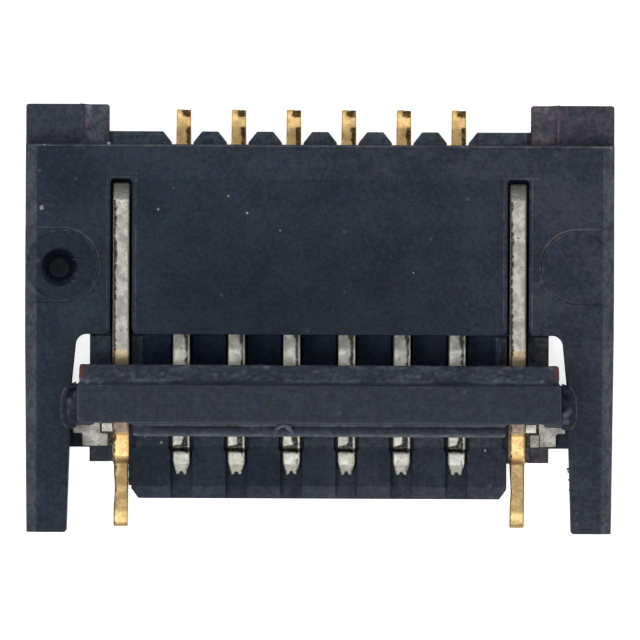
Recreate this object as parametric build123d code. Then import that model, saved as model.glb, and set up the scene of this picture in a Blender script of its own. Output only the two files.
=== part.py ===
from build123d import *
import os

os.makedirs("parts", exist_ok=True)

# A rear flip connector for a flexible printed circuit, lying on its board with the lever open.
# X runs along the row of contacts. The circuit enters from +Y. The lever stands up and
# closes toward -Y. Z points away from the board, and z = 0 is the board's surface.
# All sizes are in millimetres. The origin is the bottom centre of the housing.

# Row of contacts
CONTACT_COUNT = 6
CONTACT_PITCH = 0.5
CONTACT_STOCK = 0.155
CONTACT_TAIL_WIDTH = 0.135
CONTACT_TAIL_SHIFT = 0.01
SHEET_CLEARANCE = 0.02

# Flexible circuit and the mouth that takes it
FPC_MARGIN = 0.5
FPC_THICKNESS = 0.3
FPC_SIDE_PLAY = 0.035
FPC_TOP_PLAY = 0.04
EAR_WIDTH = 0.375
EAR_LENGTH = 0.4
MOUTH_LEAD_IN = 0.05

# Hold downs beside the row
HOLD_DOWN_OFFSET = 0.55
HOLD_DOWN_STOCK = 0.15
HOLD_DOWN_TAIL_WIDTH = 0.135
COVER_SLOT_WIDTH = 0.198
COVER_SLOT_END_RADIUS = 0.035
COVER_SLOT_MOUTH_RADIUS = 0.06

# Housing seen from above
SHOULDER_WIDTH = 0.19
SIDE_GAP = 0.12
ARM_WIDTH = 0.42
ARM_TAPER = 0.04
ARM_DRAFT = 0.02
ARM_OVERHANG = 0.071
GAP_CORNER_RADIUS = 0.1
END_BLOCK_LENGTH = 0.365
END_BLOCK_WIDTH = 0.755
END_CORNER_RADIUS = 0.025
COVER_LENGTH = 1.724
WEB_THICKNESS = 0.354
LIP_LENGTH = 0.122
LIP_FLARE_WIDTH = 0.079
LIP_FLARE_LENGTH = 0.1
NOTCH_DEPTH = 0.07
PIVOT_SETBACK = 0.646
LEDGE_LEAD = 0.18
LEDGE_REACH = 0.38
SHOULDER_REACH = 0.512
FLOOR_REACH = 0.844
FLOOR_CORNER_WIDTH = 0.065
FLOOR_CORNER_LENGTH = 0.09
RIDGE_SETBACK = 0.275
RIDGE_BACK_RUN = 0.115
RIDGE_FRONT_RUN = 0.105
RIDGE_END_INSET = 0.04
RIDGE_WINDOW_WIDTH = 0.227
RIDGE_WINDOW_RADIUS = 0.04

# Housing heights
CHANNEL_BOTTOM = 0.1
MOUTH_FLOOR = 0.3
END_BLOCK_HEIGHT = 0.62
REAR_FLOOR = 0.24
FLOOR_EDGE_RUN = 0.109
FLOOR_EDGE_DROP = 0.11
SHOULDER_WALL = 0.25
WELL_CLEARANCE = 0.16
RIDGE_CLEARANCE = 0.015
ROOF_THICKNESS = 0.115
BEAM_HEADROOM = 0.01
SIDE_CHAMFER = 0.11
FRONT_CHAMFER = 0.02

# Round ejector pads and the gate mark on the housing's sides
PAD_SETBACK = 0.333
PAD_BEHIND_FRONT = 1.1
PAD_HALF_WIDTH = 0.34
PAD_DEPTH = 0.02
PIN_RADIUS = 0.315
PIN_DEPTH = 0.01
GATE_RADIUS = 0.167
GATE_DEPTH = 0.16
GATE_FLOOR_RADIUS = 0.09
GATE_OFFSET = 0.024

# Lever, with reach measured from its pivot
LEVER_REACH = 1.08
LEVER_CHEEK = 0.28
LEVER_SIDE_CLEARANCE = 0.06
LEVER_SLOT_WIDTH = 0.22
LEVER_SLOT_REACH = 0.53
HANDLE_FRONT = 0.155
HANDLE_BACK = 0.19
LEVER_HEEL = 0.37
LEVER_HEEL_REACH = 0.62
LEVER_HEEL_SLOPE = 0.18
LEVER_HEEL_INSET = 0.02
FOOT_DEPTH = 0.2
RIB_REACH = 0.275
RIB_BOTTOM = 0.46
RIB_TOP = 0.72
RIB_SLOPE = 0.06
RIB_END_CLEARANCE = 0.02
LEVER_CORNER_RADIUS = 0.03
LEVER_END_CHAMFER = 0.02
CAM_REACH = 0.15
CAM_HALF_HEIGHT = 0.1
CAM_RADIUS = 0.08
CAM_CLEARANCE = 0.015
BOSS_RADIUS = 0.195
BOSS_LENGTH = 0.147
BOSS_CHAMFER = 0.05
BOSS_CLEARANCE = 0.025

# Contact, blanked from strip and seen from its side
TAIL_THICKNESS = 0.12
TAIL_SETBACK = 0.04
TAIL_STEP_RUN = 0.04
TAIL_STEP_CLEARANCE = 0.02
TAIL_RADIUS = 0.025
LOWER_BEAM_DEPTH = 0.14
UPPER_BEAM_DEPTH = 0.15
BEAM_LIFT = 0.085
POST_SETBACK = 0.094
POST_LENGTH = 0.16
POST_RADIUS = 0.05
TOUCH_SETBACK = 0.57
TOUCH_HALF_LENGTH = 0.05
TOUCH_RUN = 0.07
TOUCH_CLEARANCE = 0.015
LOWER_TOUCH_SETBACK = 0.68
UPPER_TIP_SETBACK = 0.33
UPPER_TIP_RISE = 0.12
BEAM_RADIUS = 0.025
HOOK_CLEARANCE = 0.02
HOOK_LENGTH = 0.21
HOOK_FLAT = 0.095
HOOK_TOP_DROP = 0.075
HOOK_TIP_DEPTH = 0.125
SADDLE_GAP = 0.03
SADDLE_FRONT = 0.14
SADDLE_REAR = 0.2
SADDLE_RUN = 0.07
HEEL_CLEARANCE = 0.02
HEEL_FRONT = 0.416
HEEL_FLAT = 0.119
HEEL_SLOPE = 0.09
HEEL_RISE = 0.05
HEEL_TIP_HEIGHT = 0.06
HEEL_TIP_NOTCH = 0.045
HEEL_TIP_TAPER = 0.03
HEEL_TAPER_LENGTH = 0.12

# Hold down, blanked from strip with a wing folded out under the lever's boss
HOLD_DOWN_TIP_CLEARANCE = 0.037
COVER_SLOT_SETBACK = 0.313
HOLD_DOWN_NOSE = 0.154
HOLD_DOWN_NOSE_DROP = 0.11
HOLD_DOWN_BEAM_RISE = 0.03
HOLD_DOWN_UNDER_DROP = 0.035
HOLD_DOWN_DIP_START = 0.13
HOLD_DOWN_DIP_RUN = 0.15
HOLD_DOWN_DIP = 0.045
HOLD_DOWN_HOOK_LENGTH = 0.075
HOLD_DOWN_POST_LENGTH = 0.26
HOLD_DOWN_FOOT_LENGTH = 0.75
HOLD_DOWN_SHELF_DROP = 0.09
HOLD_DOWN_BEND = 0.47
HOLD_DOWN_BEND_RUN = 0.05
HOLD_DOWN_TAIL_REACH = 1.078
HOLD_DOWN_TAIL_RADIUS = 0.05
WING_THICKNESS = 0.15
WING_TUCK = 0.01
WING_REACH = 0.37
WING_NECK_REACH = 0.245
WING_NECK_GAP = 0.055
WING_WIDTH = 0.225
LOBE_SETBACK = 0.025
LOBE_LENGTH = 0.083
LOBE_CLEARANCE = 0.01
WING_RADIUS = 0.02

# How far a cutter runs past the face that it opens, and how far fused pieces reach into
# each other
OVERRUN = 0.1
ROOT = 0.05

# Places along X, from the middle outward
ROW_HALF = CONTACT_PITCH * (CONTACT_COUNT - 1) / 2
CHANNEL_WIDTH = CONTACT_STOCK + 2 * SHEET_CLEARANCE
MOUTH_HALF = ROW_HALF + FPC_MARGIN + FPC_SIDE_PLAY
EAR_X = MOUTH_HALF + EAR_WIDTH
HOLD_DOWN_X = ROW_HALF + HOLD_DOWN_OFFSET
HOLD_DOWN_CHANNEL = HOLD_DOWN_STOCK + 2 * SHEET_CLEARANCE
PLATE_HALF = HOLD_DOWN_X - HOLD_DOWN_CHANNEL / 2
SHOULDER_X = HOLD_DOWN_X + HOLD_DOWN_CHANNEL / 2
BASE_HALF = SHOULDER_X + SHOULDER_WIDTH
LEVER_HALF = HOLD_DOWN_X + LEVER_SLOT_WIDTH / 2 + LEVER_CHEEK
BOSS_END_X = LEVER_HALF + BOSS_LENGTH
GAP_OUTER_X = BASE_HALF + SIDE_GAP
ARM_INNER_X = LEVER_HALF + LEVER_SIDE_CLEARANCE
HALF_WIDTH = ARM_INNER_X + ARM_WIDTH
END_BLOCK_X = HALF_WIDTH - END_BLOCK_WIDTH

# Places along Y, from the circuit's side to the lever's side
DEPTH = END_BLOCK_LENGTH + COVER_LENGTH + PIVOT_SETBACK + LEVER_REACH + ARM_OVERHANG
FRONT_Y = DEPTH / 2
COVER_FRONT_Y = FRONT_Y - END_BLOCK_LENGTH
LIP_FRONT_Y = COVER_FRONT_Y + LIP_LENGTH
NOTCH_Y = COVER_FRONT_Y - NOTCH_DEPTH
EAR_REAR_Y = COVER_FRONT_Y - EAR_LENGTH
COVER_REAR_Y = COVER_FRONT_Y - COVER_LENGTH
WEB_FRONT_Y = COVER_REAR_Y + WEB_THICKNESS
PIVOT_Y = COVER_REAR_Y - PIVOT_SETBACK
LEDGE_FRONT_Y = PIVOT_Y + LEDGE_LEAD
LEDGE_END_Y = PIVOT_Y - LEDGE_REACH
SHOULDER_END_Y = PIVOT_Y - SHOULDER_REACH
RIDGE_Y = PIVOT_Y - RIDGE_SETBACK
FLOOR_END_Y = PIVOT_Y - FLOOR_REACH
ARM_END_Y = PIVOT_Y - LEVER_REACH - ARM_OVERHANG
WING_FRONT_Y = PIVOT_Y - HANDLE_FRONT + WING_TUCK

# Heights above the board
CEILING_Z = MOUTH_FLOOR + FPC_THICKNESS + FPC_TOP_PLAY
BEAM_UNDER_Z = CEILING_Z + BEAM_LIFT
PIVOT_Z = BEAM_UNDER_Z - CAM_CLEARANCE - CAM_REACH
BEAM_TOP_Z = BEAM_UNDER_Z + UPPER_BEAM_DEPTH
GROOVE_TOP_Z = BEAM_TOP_Z + BEAM_HEADROOM
HOUSING_HEIGHT = GROOVE_TOP_Z + ROOF_THICKNESS
LOWER_BEAM_Z = CHANNEL_BOTTOM + LOWER_BEAM_DEPTH
SADDLE_Z = PIVOT_Z - CAM_REACH - SADDLE_GAP
WELL_FLOOR = PIVOT_Z - FOOT_DEPTH - WELL_CLEARANCE
RIDGE_TOP = PIVOT_Z - RIB_REACH - RIDGE_CLEARANCE
LEDGE_TOP = PIVOT_Z - BOSS_RADIUS - BOSS_CLEARANCE - WING_THICKNESS
WING_TOP = LEDGE_TOP + WING_THICKNESS

CONTACT_PLACES = [index * CONTACT_PITCH - ROW_HALF for index in range(CONTACT_COUNT)]
LEVER_SLOTS = CONTACT_PLACES + [-HOLD_DOWN_X, HOLD_DOWN_X]


def block(x_range, y_range, z_range):
    """A plain box between two limits on each axis."""
    sizes = [high - low for low, high in (x_range, y_range, z_range)]
    middle = [(high + low) / 2 for low, high in (x_range, y_range, z_range)]
    return Pos(*middle) * Box(*sizes)


def rounded_face(corners):
    """A face from corners given as (first, second, corner radius)."""
    points = [(first, second) for first, second, radius in corners]
    radii = [radius for first, second, radius in corners]
    return make_face(FilletPolyline(*points, radius=radii, close=True))


def side_profile(corners, thickness):
    """A solid with this outline seen along X, centred on x = 0."""
    return Plane.YZ * extrude(rounded_face(corners), thickness / 2, both=True)


def both_sides(corners):
    """Corners of the right half, then the same corners on the left in reverse."""
    return corners + [(-x, y, radius) for x, y, radius in reversed(corners)]


def pair(right):
    """A right hand piece fused with its mirror image."""
    return right + mirror(right, Plane.YZ)


def cover_and_arms():
    """The cover and both side arms at full height, with their long outer edges bevelled."""
    outline = both_sides([
        (HALF_WIDTH, COVER_FRONT_Y, 0),
        (HALF_WIDTH, COVER_REAR_Y, 0),
        (HALF_WIDTH - ARM_DRAFT, ARM_END_Y, 0),
        (ARM_INNER_X + ARM_TAPER, ARM_END_Y, END_CORNER_RADIUS),
        (ARM_INNER_X, LEDGE_FRONT_Y, 0),
        (GAP_OUTER_X, COVER_REAR_Y, GAP_CORNER_RADIUS),
    ])
    walls = extrude(rounded_face(outline), HOUSING_HEIGHT)
    top_edges = walls.faces().sort_by(Axis.Z)[-1].edges()
    front_edge = top_edges.sort_by(Axis.Y)[-1]
    walls = chamfer(front_edge, FRONT_CHAMFER)
    top_edges = walls.faces().sort_by(Axis.Z)[-1].edges()
    side_limit = HALF_WIDTH - ARM_DRAFT - FRONT_CHAMFER
    return chamfer([edge for edge in top_edges if abs(edge.center().X) > side_limit], SIDE_CHAMFER)


def end_blocks():
    """Two stepped blocks that stand beside the circuit in front of the cover."""
    low, high = (
        extrude(
            rounded_face([
                (inner_x, NOTCH_Y, 0),
                (HALF_WIDTH, NOTCH_Y, 0),
                (HALF_WIDTH, FRONT_Y, END_CORNER_RADIUS),
                (inner_x, FRONT_Y, END_CORNER_RADIUS),
            ]),
            height,
        )
        for inner_x, height in ((END_BLOCK_X, MOUTH_FLOOR), (EAR_X, END_BLOCK_HEIGHT))
    )
    return pair(low + high)


def floor():
    """The low floor: lip, mouth floor, lever well, ridge and the plate behind the ridge."""
    profile = [
        (LIP_FRONT_Y, 0, 0),
        (LIP_FRONT_Y, MOUTH_FLOOR, FRONT_CHAMFER),
        (COVER_REAR_Y, MOUTH_FLOOR, 0),
        (COVER_REAR_Y, WELL_FLOOR, 0),
        (RIDGE_Y + RIDGE_BACK_RUN, WELL_FLOOR, 0),
        (RIDGE_Y, RIDGE_TOP, FRONT_CHAMFER),
        (RIDGE_Y - RIDGE_FRONT_RUN, REAR_FLOOR, 0),
        (FLOOR_END_Y + FLOOR_EDGE_RUN, REAR_FLOOR, 0),
        (FLOOR_END_Y, REAR_FLOOR - FLOOR_EDGE_DROP, 0),
        (FLOOR_END_Y, 0, 0),
    ]
    plate = side_profile(profile, 2 * PLATE_HALF)
    corner = Polyline(
        (PLATE_HALF - FLOOR_CORNER_WIDTH, FLOOR_END_Y),
        (PLATE_HALF, FLOOR_END_Y + FLOOR_CORNER_LENGTH),
        (PLATE_HALF + OVERRUN, FLOOR_END_Y - OVERRUN),
        close=True,
    )
    plate -= pair(extrude(make_face(corner), HOUSING_HEIGHT))
    ridge_end = block(
        (PLATE_HALF - RIDGE_END_INSET, PLATE_HALF + OVERRUN),
        (RIDGE_Y - RIDGE_FRONT_RUN, RIDGE_Y + RIDGE_BACK_RUN),
        (min(WELL_FLOOR, REAR_FLOOR), HOUSING_HEIGHT),
    )
    return plate - pair(ridge_end)


def shoulders():
    """Low walls outside the hold downs, and the ledges that tie them to the arms."""
    under_cover = block((0, BASE_HALF), (COVER_REAR_Y - ROOT, LIP_FRONT_Y), (0, MOUTH_FLOOR))
    under_cover &= block((0, END_BLOCK_X + ROOT), (COVER_REAR_Y, LIP_FRONT_Y), (0, MOUTH_FLOOR))
    wall = block(
        (PLATE_HALF - ROOT, BASE_HALF),
        (WING_FRONT_Y + SHEET_CLEARANCE, COVER_REAR_Y + ROOT),
        (0, SHOULDER_WALL),
    )
    seat = block((SHOULDER_X, BASE_HALF), (SHOULDER_END_Y, LEDGE_FRONT_Y), (0, LEDGE_TOP))
    ledge = block((BASE_HALF - ROOT, ARM_INNER_X + ROOT), (LEDGE_END_Y, LEDGE_FRONT_Y), (0, LEDGE_TOP))
    return pair(under_cover + wall + seat + ledge)


def mouth():
    """The slot for the circuit, with ear pockets beside it and a lead in under the cover."""
    reach_y = LIP_FRONT_Y + OVERRUN
    slot = block((-MOUTH_HALF, MOUTH_HALF), (WEB_FRONT_Y, reach_y), (MOUTH_FLOOR, CEILING_Z))
    ears = block((-EAR_X, EAR_X), (EAR_REAR_Y, reach_y), (MOUTH_FLOOR, CEILING_Z))
    lead_in = side_profile(
        [
            (COVER_FRONT_Y - MOUTH_LEAD_IN, CEILING_Z, 0),
            (COVER_FRONT_Y + OVERRUN, CEILING_Z + MOUTH_LEAD_IN + OVERRUN, 0),
            (COVER_FRONT_Y + OVERRUN, CEILING_Z, 0),
        ],
        2 * EAR_X,
    )
    return slot + ears + lead_in


def contact_channel():
    """All that is cut away round one contact, on x = 0."""
    half = CHANNEL_WIDTH / 2
    channel = block(
        (-half, half),
        (FLOOR_END_Y - OVERRUN, COVER_FRONT_Y + OVERRUN),
        (CHANNEL_BOTTOM, GROOVE_TOP_Z),
    )
    flare_y = LIP_FRONT_Y - LIP_FLARE_LENGTH
    notch = both_sides([
        (half, NOTCH_Y, 0),
        (half, flare_y, 0),
        (half + LIP_FLARE_WIDTH, LIP_FRONT_Y, 0),
        (half + LIP_FLARE_WIDTH, LIP_FRONT_Y + OVERRUN, 0),
    ])
    window_face = RectangleRounded(
        RIDGE_WINDOW_WIDTH,
        RIDGE_BACK_RUN + RIDGE_FRONT_RUN + 2 * RIDGE_WINDOW_RADIUS,
        RIDGE_WINDOW_RADIUS,
    )
    window_y = RIDGE_Y + (RIDGE_BACK_RUN - RIDGE_FRONT_RUN) / 2
    window = Pos(0, window_y, CHANNEL_BOTTOM) * extrude(window_face, HOUSING_HEIGHT)
    return channel + extrude(rounded_face(notch), MOUTH_FLOOR + ROOT) + window


def hold_down_channel():
    """The slot in the cover, the channel in the floor and the gap behind, on x = 0."""
    half = HOLD_DOWN_CHANNEL / 2
    foot_y = COVER_REAR_Y + HOLD_DOWN_FOOT_LENGTH + SHEET_CLEARANCE
    channel = block((-half, half), (LEDGE_FRONT_Y, foot_y), (CHANNEL_BOTTOM, HOUSING_HEIGHT))
    channel -= block(
        (-half, half), (WEB_FRONT_Y, foot_y), (CEILING_Z, HOUSING_HEIGHT)
    )
    gap = block((-half, half), (FLOOR_END_Y - OVERRUN, LEDGE_FRONT_Y), (-OVERRUN, HOUSING_HEIGHT))
    slot_half = COVER_SLOT_WIDTH / 2
    mouth_half = slot_half + COVER_SLOT_MOUTH_RADIUS
    slot_end_y = COVER_FRONT_Y - COVER_SLOT_SETBACK
    slot = rounded_face(both_sides([
        (slot_half, slot_end_y, COVER_SLOT_END_RADIUS),
        (slot_half, COVER_REAR_Y, COVER_SLOT_MOUTH_RADIUS),
        (mouth_half + COVER_SLOT_MOUTH_RADIUS, COVER_REAR_Y, 0),
        (mouth_half + COVER_SLOT_MOUTH_RADIUS, COVER_REAR_Y - OVERRUN, 0),
    ]))
    opening = Pos(0, 0, CEILING_Z) * extrude(slot, HOUSING_HEIGHT)
    return channel + gap + opening


def boss_pocket():
    """An open topped bearing for the lever's boss, cut into the arm from inside."""
    radius = BOSS_RADIUS + BOSS_CLEARANCE
    bearing = Plane.YZ * extrude(Circle(radius), BOSS_END_X + BOSS_CLEARANCE)
    bearing = Pos(0, PIVOT_Y, PIVOT_Z) * bearing
    entry = block(
        (0, BOSS_END_X + BOSS_CLEARANCE),
        (PIVOT_Y - radius, PIVOT_Y + radius),
        (PIVOT_Z, HOUSING_HEIGHT + OVERRUN),
    )
    inner = block((0, BASE_HALF), (ARM_END_Y, COVER_FRONT_Y), (0, HOUSING_HEIGHT + OVERRUN))
    return bearing + entry - inner


def side_pad(has_gate):
    """Blank to add and cuts to take at one ejector mark, on the right of the housing."""
    pad_x = HALF_WIDTH - PAD_SETBACK
    pad_y = COVER_FRONT_Y - PAD_BEHIND_FRONT
    top = Pos(pad_x, pad_y, HOUSING_HEIGHT)
    outward = Pos(PAD_SETBACK / 2, 0) * Rectangle(PAD_SETBACK, 2 * PAD_HALF_WIDTH)
    blank = top * extrude(outward, -HOUSING_HEIGHT)
    sunk = Circle(PAD_HALF_WIDTH) + Pos(PAD_SETBACK, 0) * Rectangle(2 * PAD_SETBACK, 2 * PAD_HALF_WIDTH)
    cuts = top * extrude(sunk, PAD_DEPTH, both=True)
    cuts += top * extrude(Circle(PIN_RADIUS), PAD_DEPTH + PIN_DEPTH, both=True)
    if has_gate:
        floor_z = -PAD_DEPTH - PIN_DEPTH - GATE_DEPTH
        bowl_depth = HOUSING_HEIGHT / 2
        bowl = Polyline(
            (0, floor_z), (GATE_FLOOR_RADIUS, floor_z), (GATE_RADIUS, floor_z + GATE_DEPTH),
            (GATE_RADIUS, bowl_depth), (0, bowl_depth), close=True,
        )
        crater = revolve(Plane.XZ * make_face(bowl), Axis.Z)
        cuts += top * (Pos(GATE_OFFSET, -GATE_OFFSET, 0) * crater)
    return blank, cuts


def housing():
    """The moulded housing in one piece."""
    body = cover_and_arms() + end_blocks() + floor() + shoulders()
    right_blank, right_cuts = side_pad(False)
    left_blank, left_cuts = side_pad(True)
    body += right_blank + mirror(left_blank, Plane.YZ)
    body -= right_cuts + mirror(left_cuts, Plane.YZ)
    body -= mouth()
    for place in CONTACT_PLACES:
        body -= Pos(place, 0, 0) * contact_channel()
    for place in (-HOLD_DOWN_X, HOLD_DOWN_X):
        body -= Pos(place, 0, 0) * hold_down_channel()
    body -= pair(boss_pocket())
    return body


def lever():
    """The lever in its open place, with a rib behind, a cam bar and two pivot bosses."""
    heel = LEVER_HEEL
    profile = [
        (-HANDLE_FRONT, -FOOT_DEPTH, LEVER_CORNER_RADIUS),
        (heel, -FOOT_DEPTH, LEVER_CORNER_RADIUS),
        (heel, LEVER_HEEL_REACH, LEVER_CORNER_RADIUS),
        (HANDLE_BACK, LEVER_HEEL_REACH + LEVER_HEEL_SLOPE, LEVER_CORNER_RADIUS),
        (HANDLE_BACK, LEVER_REACH, LEVER_CORNER_RADIUS),
        (-HANDLE_FRONT, LEVER_REACH, LEVER_CORNER_RADIUS),
    ]
    bar = side_profile(profile, 2 * LEVER_HALF)
    bar = chamfer(bar.edges().filter_by(Axis.X, reverse=True), LEVER_END_CHAMFER)
    heel_end = block(
        (LEVER_HALF - LEVER_HEEL_INSET, LEVER_HALF + OVERRUN),
        (HANDLE_BACK, heel + OVERRUN),
        (-FOOT_DEPTH - OVERRUN, LEVER_REACH),
    )
    bar -= pair(heel_end)
    rib = [
        (-HANDLE_FRONT + ROOT, RIB_BOTTOM, 0),
        (-RIB_REACH, RIB_BOTTOM, LEVER_CORNER_RADIUS),
        (-RIB_REACH, RIB_TOP, LEVER_CORNER_RADIUS),
        (-HANDLE_FRONT, RIB_TOP + RIB_SLOPE, 0),
        (-HANDLE_FRONT + ROOT, RIB_TOP + RIB_SLOPE, 0),
    ]
    bar += side_profile(rib, 2 * (PLATE_HALF - RIB_END_CLEARANCE))
    half = LEVER_SLOT_WIDTH / 2
    slot = block((-half, half), (-heel, heel + OVERRUN), (-FOOT_DEPTH - OVERRUN, LEVER_SLOT_REACH))
    for place in LEVER_SLOTS:
        bar -= Pos(place, 0, 0) * slot
    cam_half = LEVER_HALF - LEVER_CHEEK / 2
    cam = RectangleRounded(2 * CAM_REACH, 2 * CAM_HALF_HEIGHT, CAM_RADIUS)
    bar += Plane.YZ * extrude(cam, cam_half, both=True)
    boss = Plane.YZ * extrude(Circle(BOSS_RADIUS), BOSS_END_X)
    boss = chamfer(boss.edges().sort_by(Axis.X)[-1], BOSS_CHAMFER)
    boss -= block((-OVERRUN, LEVER_HALF - LEVER_CHEEK / 2), (-heel, heel), (-heel, heel))
    bar += pair(boss)
    return Pos(0, PIVOT_Y, PIVOT_Z) * bar


def contact():
    """One signal contact on x = 0: tail, lower beam, post, upper beam and rear hook."""
    tail_y = FRONT_Y - TAIL_SETBACK
    step_y = NOTCH_Y + TAIL_STEP_CLEARANCE
    touch_y = COVER_FRONT_Y - TOUCH_SETBACK
    touch_z = CEILING_Z + TOUCH_CLEARANCE
    lower_touch_y = COVER_FRONT_Y - LOWER_TOUCH_SETBACK
    lower_touch_z = MOUTH_FLOOR - TOUCH_CLEARANCE
    upper_tip_y = COVER_FRONT_Y - UPPER_TIP_SETBACK
    post_rear_y = COVER_REAR_Y + POST_SETBACK
    post_front_y = post_rear_y + POST_LENGTH
    hook_inner_y = PIVOT_Y - CAM_REACH - HOOK_CLEARANCE
    hook_end_y = hook_inner_y - HOOK_LENGTH
    hook_top_z = BEAM_TOP_Z - HOOK_TOP_DROP
    hook_tip_z = BEAM_UNDER_Z - HOOK_TIP_DEPTH
    heel_top_z = PIVOT_Z - RIB_REACH - HEEL_CLEARANCE
    heel_front_y = PIVOT_Y - HEEL_FRONT
    heel_rear_y = heel_front_y - HEEL_FLAT
    heel_tip_y = heel_rear_y - HEEL_SLOPE
    saddle_rear_y = PIVOT_Y - SADDLE_REAR
    profile = [
        (tail_y, 0, TAIL_RADIUS),
        (tail_y, TAIL_THICKNESS, TAIL_RADIUS),
        (step_y + TAIL_THICKNESS, TAIL_THICKNESS, TAIL_RADIUS),
        (step_y - TAIL_STEP_RUN, LOWER_BEAM_Z, TAIL_RADIUS),
        (lower_touch_y + TOUCH_HALF_LENGTH + TOUCH_RUN, LOWER_BEAM_Z, 0),
        (lower_touch_y + TOUCH_HALF_LENGTH, lower_touch_z, BEAM_RADIUS),
        (lower_touch_y - TOUCH_HALF_LENGTH, lower_touch_z, BEAM_RADIUS),
        (lower_touch_y - TOUCH_HALF_LENGTH - TOUCH_RUN, LOWER_BEAM_Z, 0),
        (post_front_y, LOWER_BEAM_Z, POST_RADIUS),
        (post_front_y, BEAM_UNDER_Z, POST_RADIUS),
        (touch_y - TOUCH_HALF_LENGTH - TOUCH_RUN, BEAM_UNDER_Z, 0),
        (touch_y - TOUCH_HALF_LENGTH, touch_z, BEAM_RADIUS),
        (touch_y + TOUCH_HALF_LENGTH, touch_z, BEAM_RADIUS),
        (upper_tip_y, touch_z + UPPER_TIP_RISE, BEAM_RADIUS),
        (upper_tip_y, BEAM_TOP_Z, BEAM_RADIUS),
        (hook_inner_y + HOOK_CLEARANCE, BEAM_TOP_Z, 0),
        (hook_end_y + HOOK_FLAT, hook_top_z, 0),
        (hook_end_y, hook_top_z, BEAM_RADIUS),
        (hook_end_y, hook_tip_z, BEAM_RADIUS),
        (hook_inner_y, hook_tip_z, BEAM_RADIUS),
        (hook_inner_y, BEAM_UNDER_Z, BEAM_RADIUS),
        (post_rear_y, BEAM_UNDER_Z, POST_RADIUS),
        (post_rear_y, LOWER_BEAM_Z, POST_RADIUS),
        (PIVOT_Y + SADDLE_FRONT + SADDLE_RUN, LOWER_BEAM_Z, 0),
        (PIVOT_Y + SADDLE_FRONT, SADDLE_Z, 0),
        (saddle_rear_y, SADDLE_Z, 0),
        (saddle_rear_y - SADDLE_RUN, heel_top_z - HEEL_RISE, 0),
        (heel_front_y + SHEET_CLEARANCE, heel_top_z - HEEL_RISE, 0),
        (heel_front_y, heel_top_z, BEAM_RADIUS),
        (heel_rear_y, heel_top_z, BEAM_RADIUS),
        (heel_tip_y, CHANNEL_BOTTOM + HEEL_TIP_HEIGHT, 0),
        (heel_tip_y, CHANNEL_BOTTOM, 0),
        (step_y, CHANNEL_BOTTOM, 0),
        (step_y + TAIL_STEP_RUN, 0, 0),
    ]
    blank = side_profile(profile, CONTACT_STOCK)
    coined = block(
        (CONTACT_TAIL_SHIFT - CONTACT_TAIL_WIDTH / 2, CONTACT_TAIL_SHIFT + CONTACT_TAIL_WIDTH / 2),
        (COVER_FRONT_Y, FRONT_Y),
        (0, MOUTH_FLOOR),
    )
    trim = block((-CONTACT_STOCK, CONTACT_STOCK), (COVER_FRONT_Y, FRONT_Y), (0, MOUTH_FLOOR)) - coined
    notch = Polyline(
        (-HEEL_TIP_NOTCH / 2, heel_tip_y), (0, heel_tip_y + HEEL_TIP_NOTCH), (HEEL_TIP_NOTCH / 2, heel_tip_y),
        close=True,
    )
    taper = Polyline(
        (CONTACT_STOCK / 2, heel_tip_y + HEEL_TAPER_LENGTH),
        (CONTACT_STOCK / 2 - HEEL_TIP_TAPER, heel_tip_y),
        (CONTACT_STOCK, heel_tip_y - HEEL_TIP_TAPER),
        close=True,
    )
    blank -= pair(extrude(make_face(taper), heel_top_z))
    return blank - trim - extrude(make_face(notch), heel_top_z)


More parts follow.
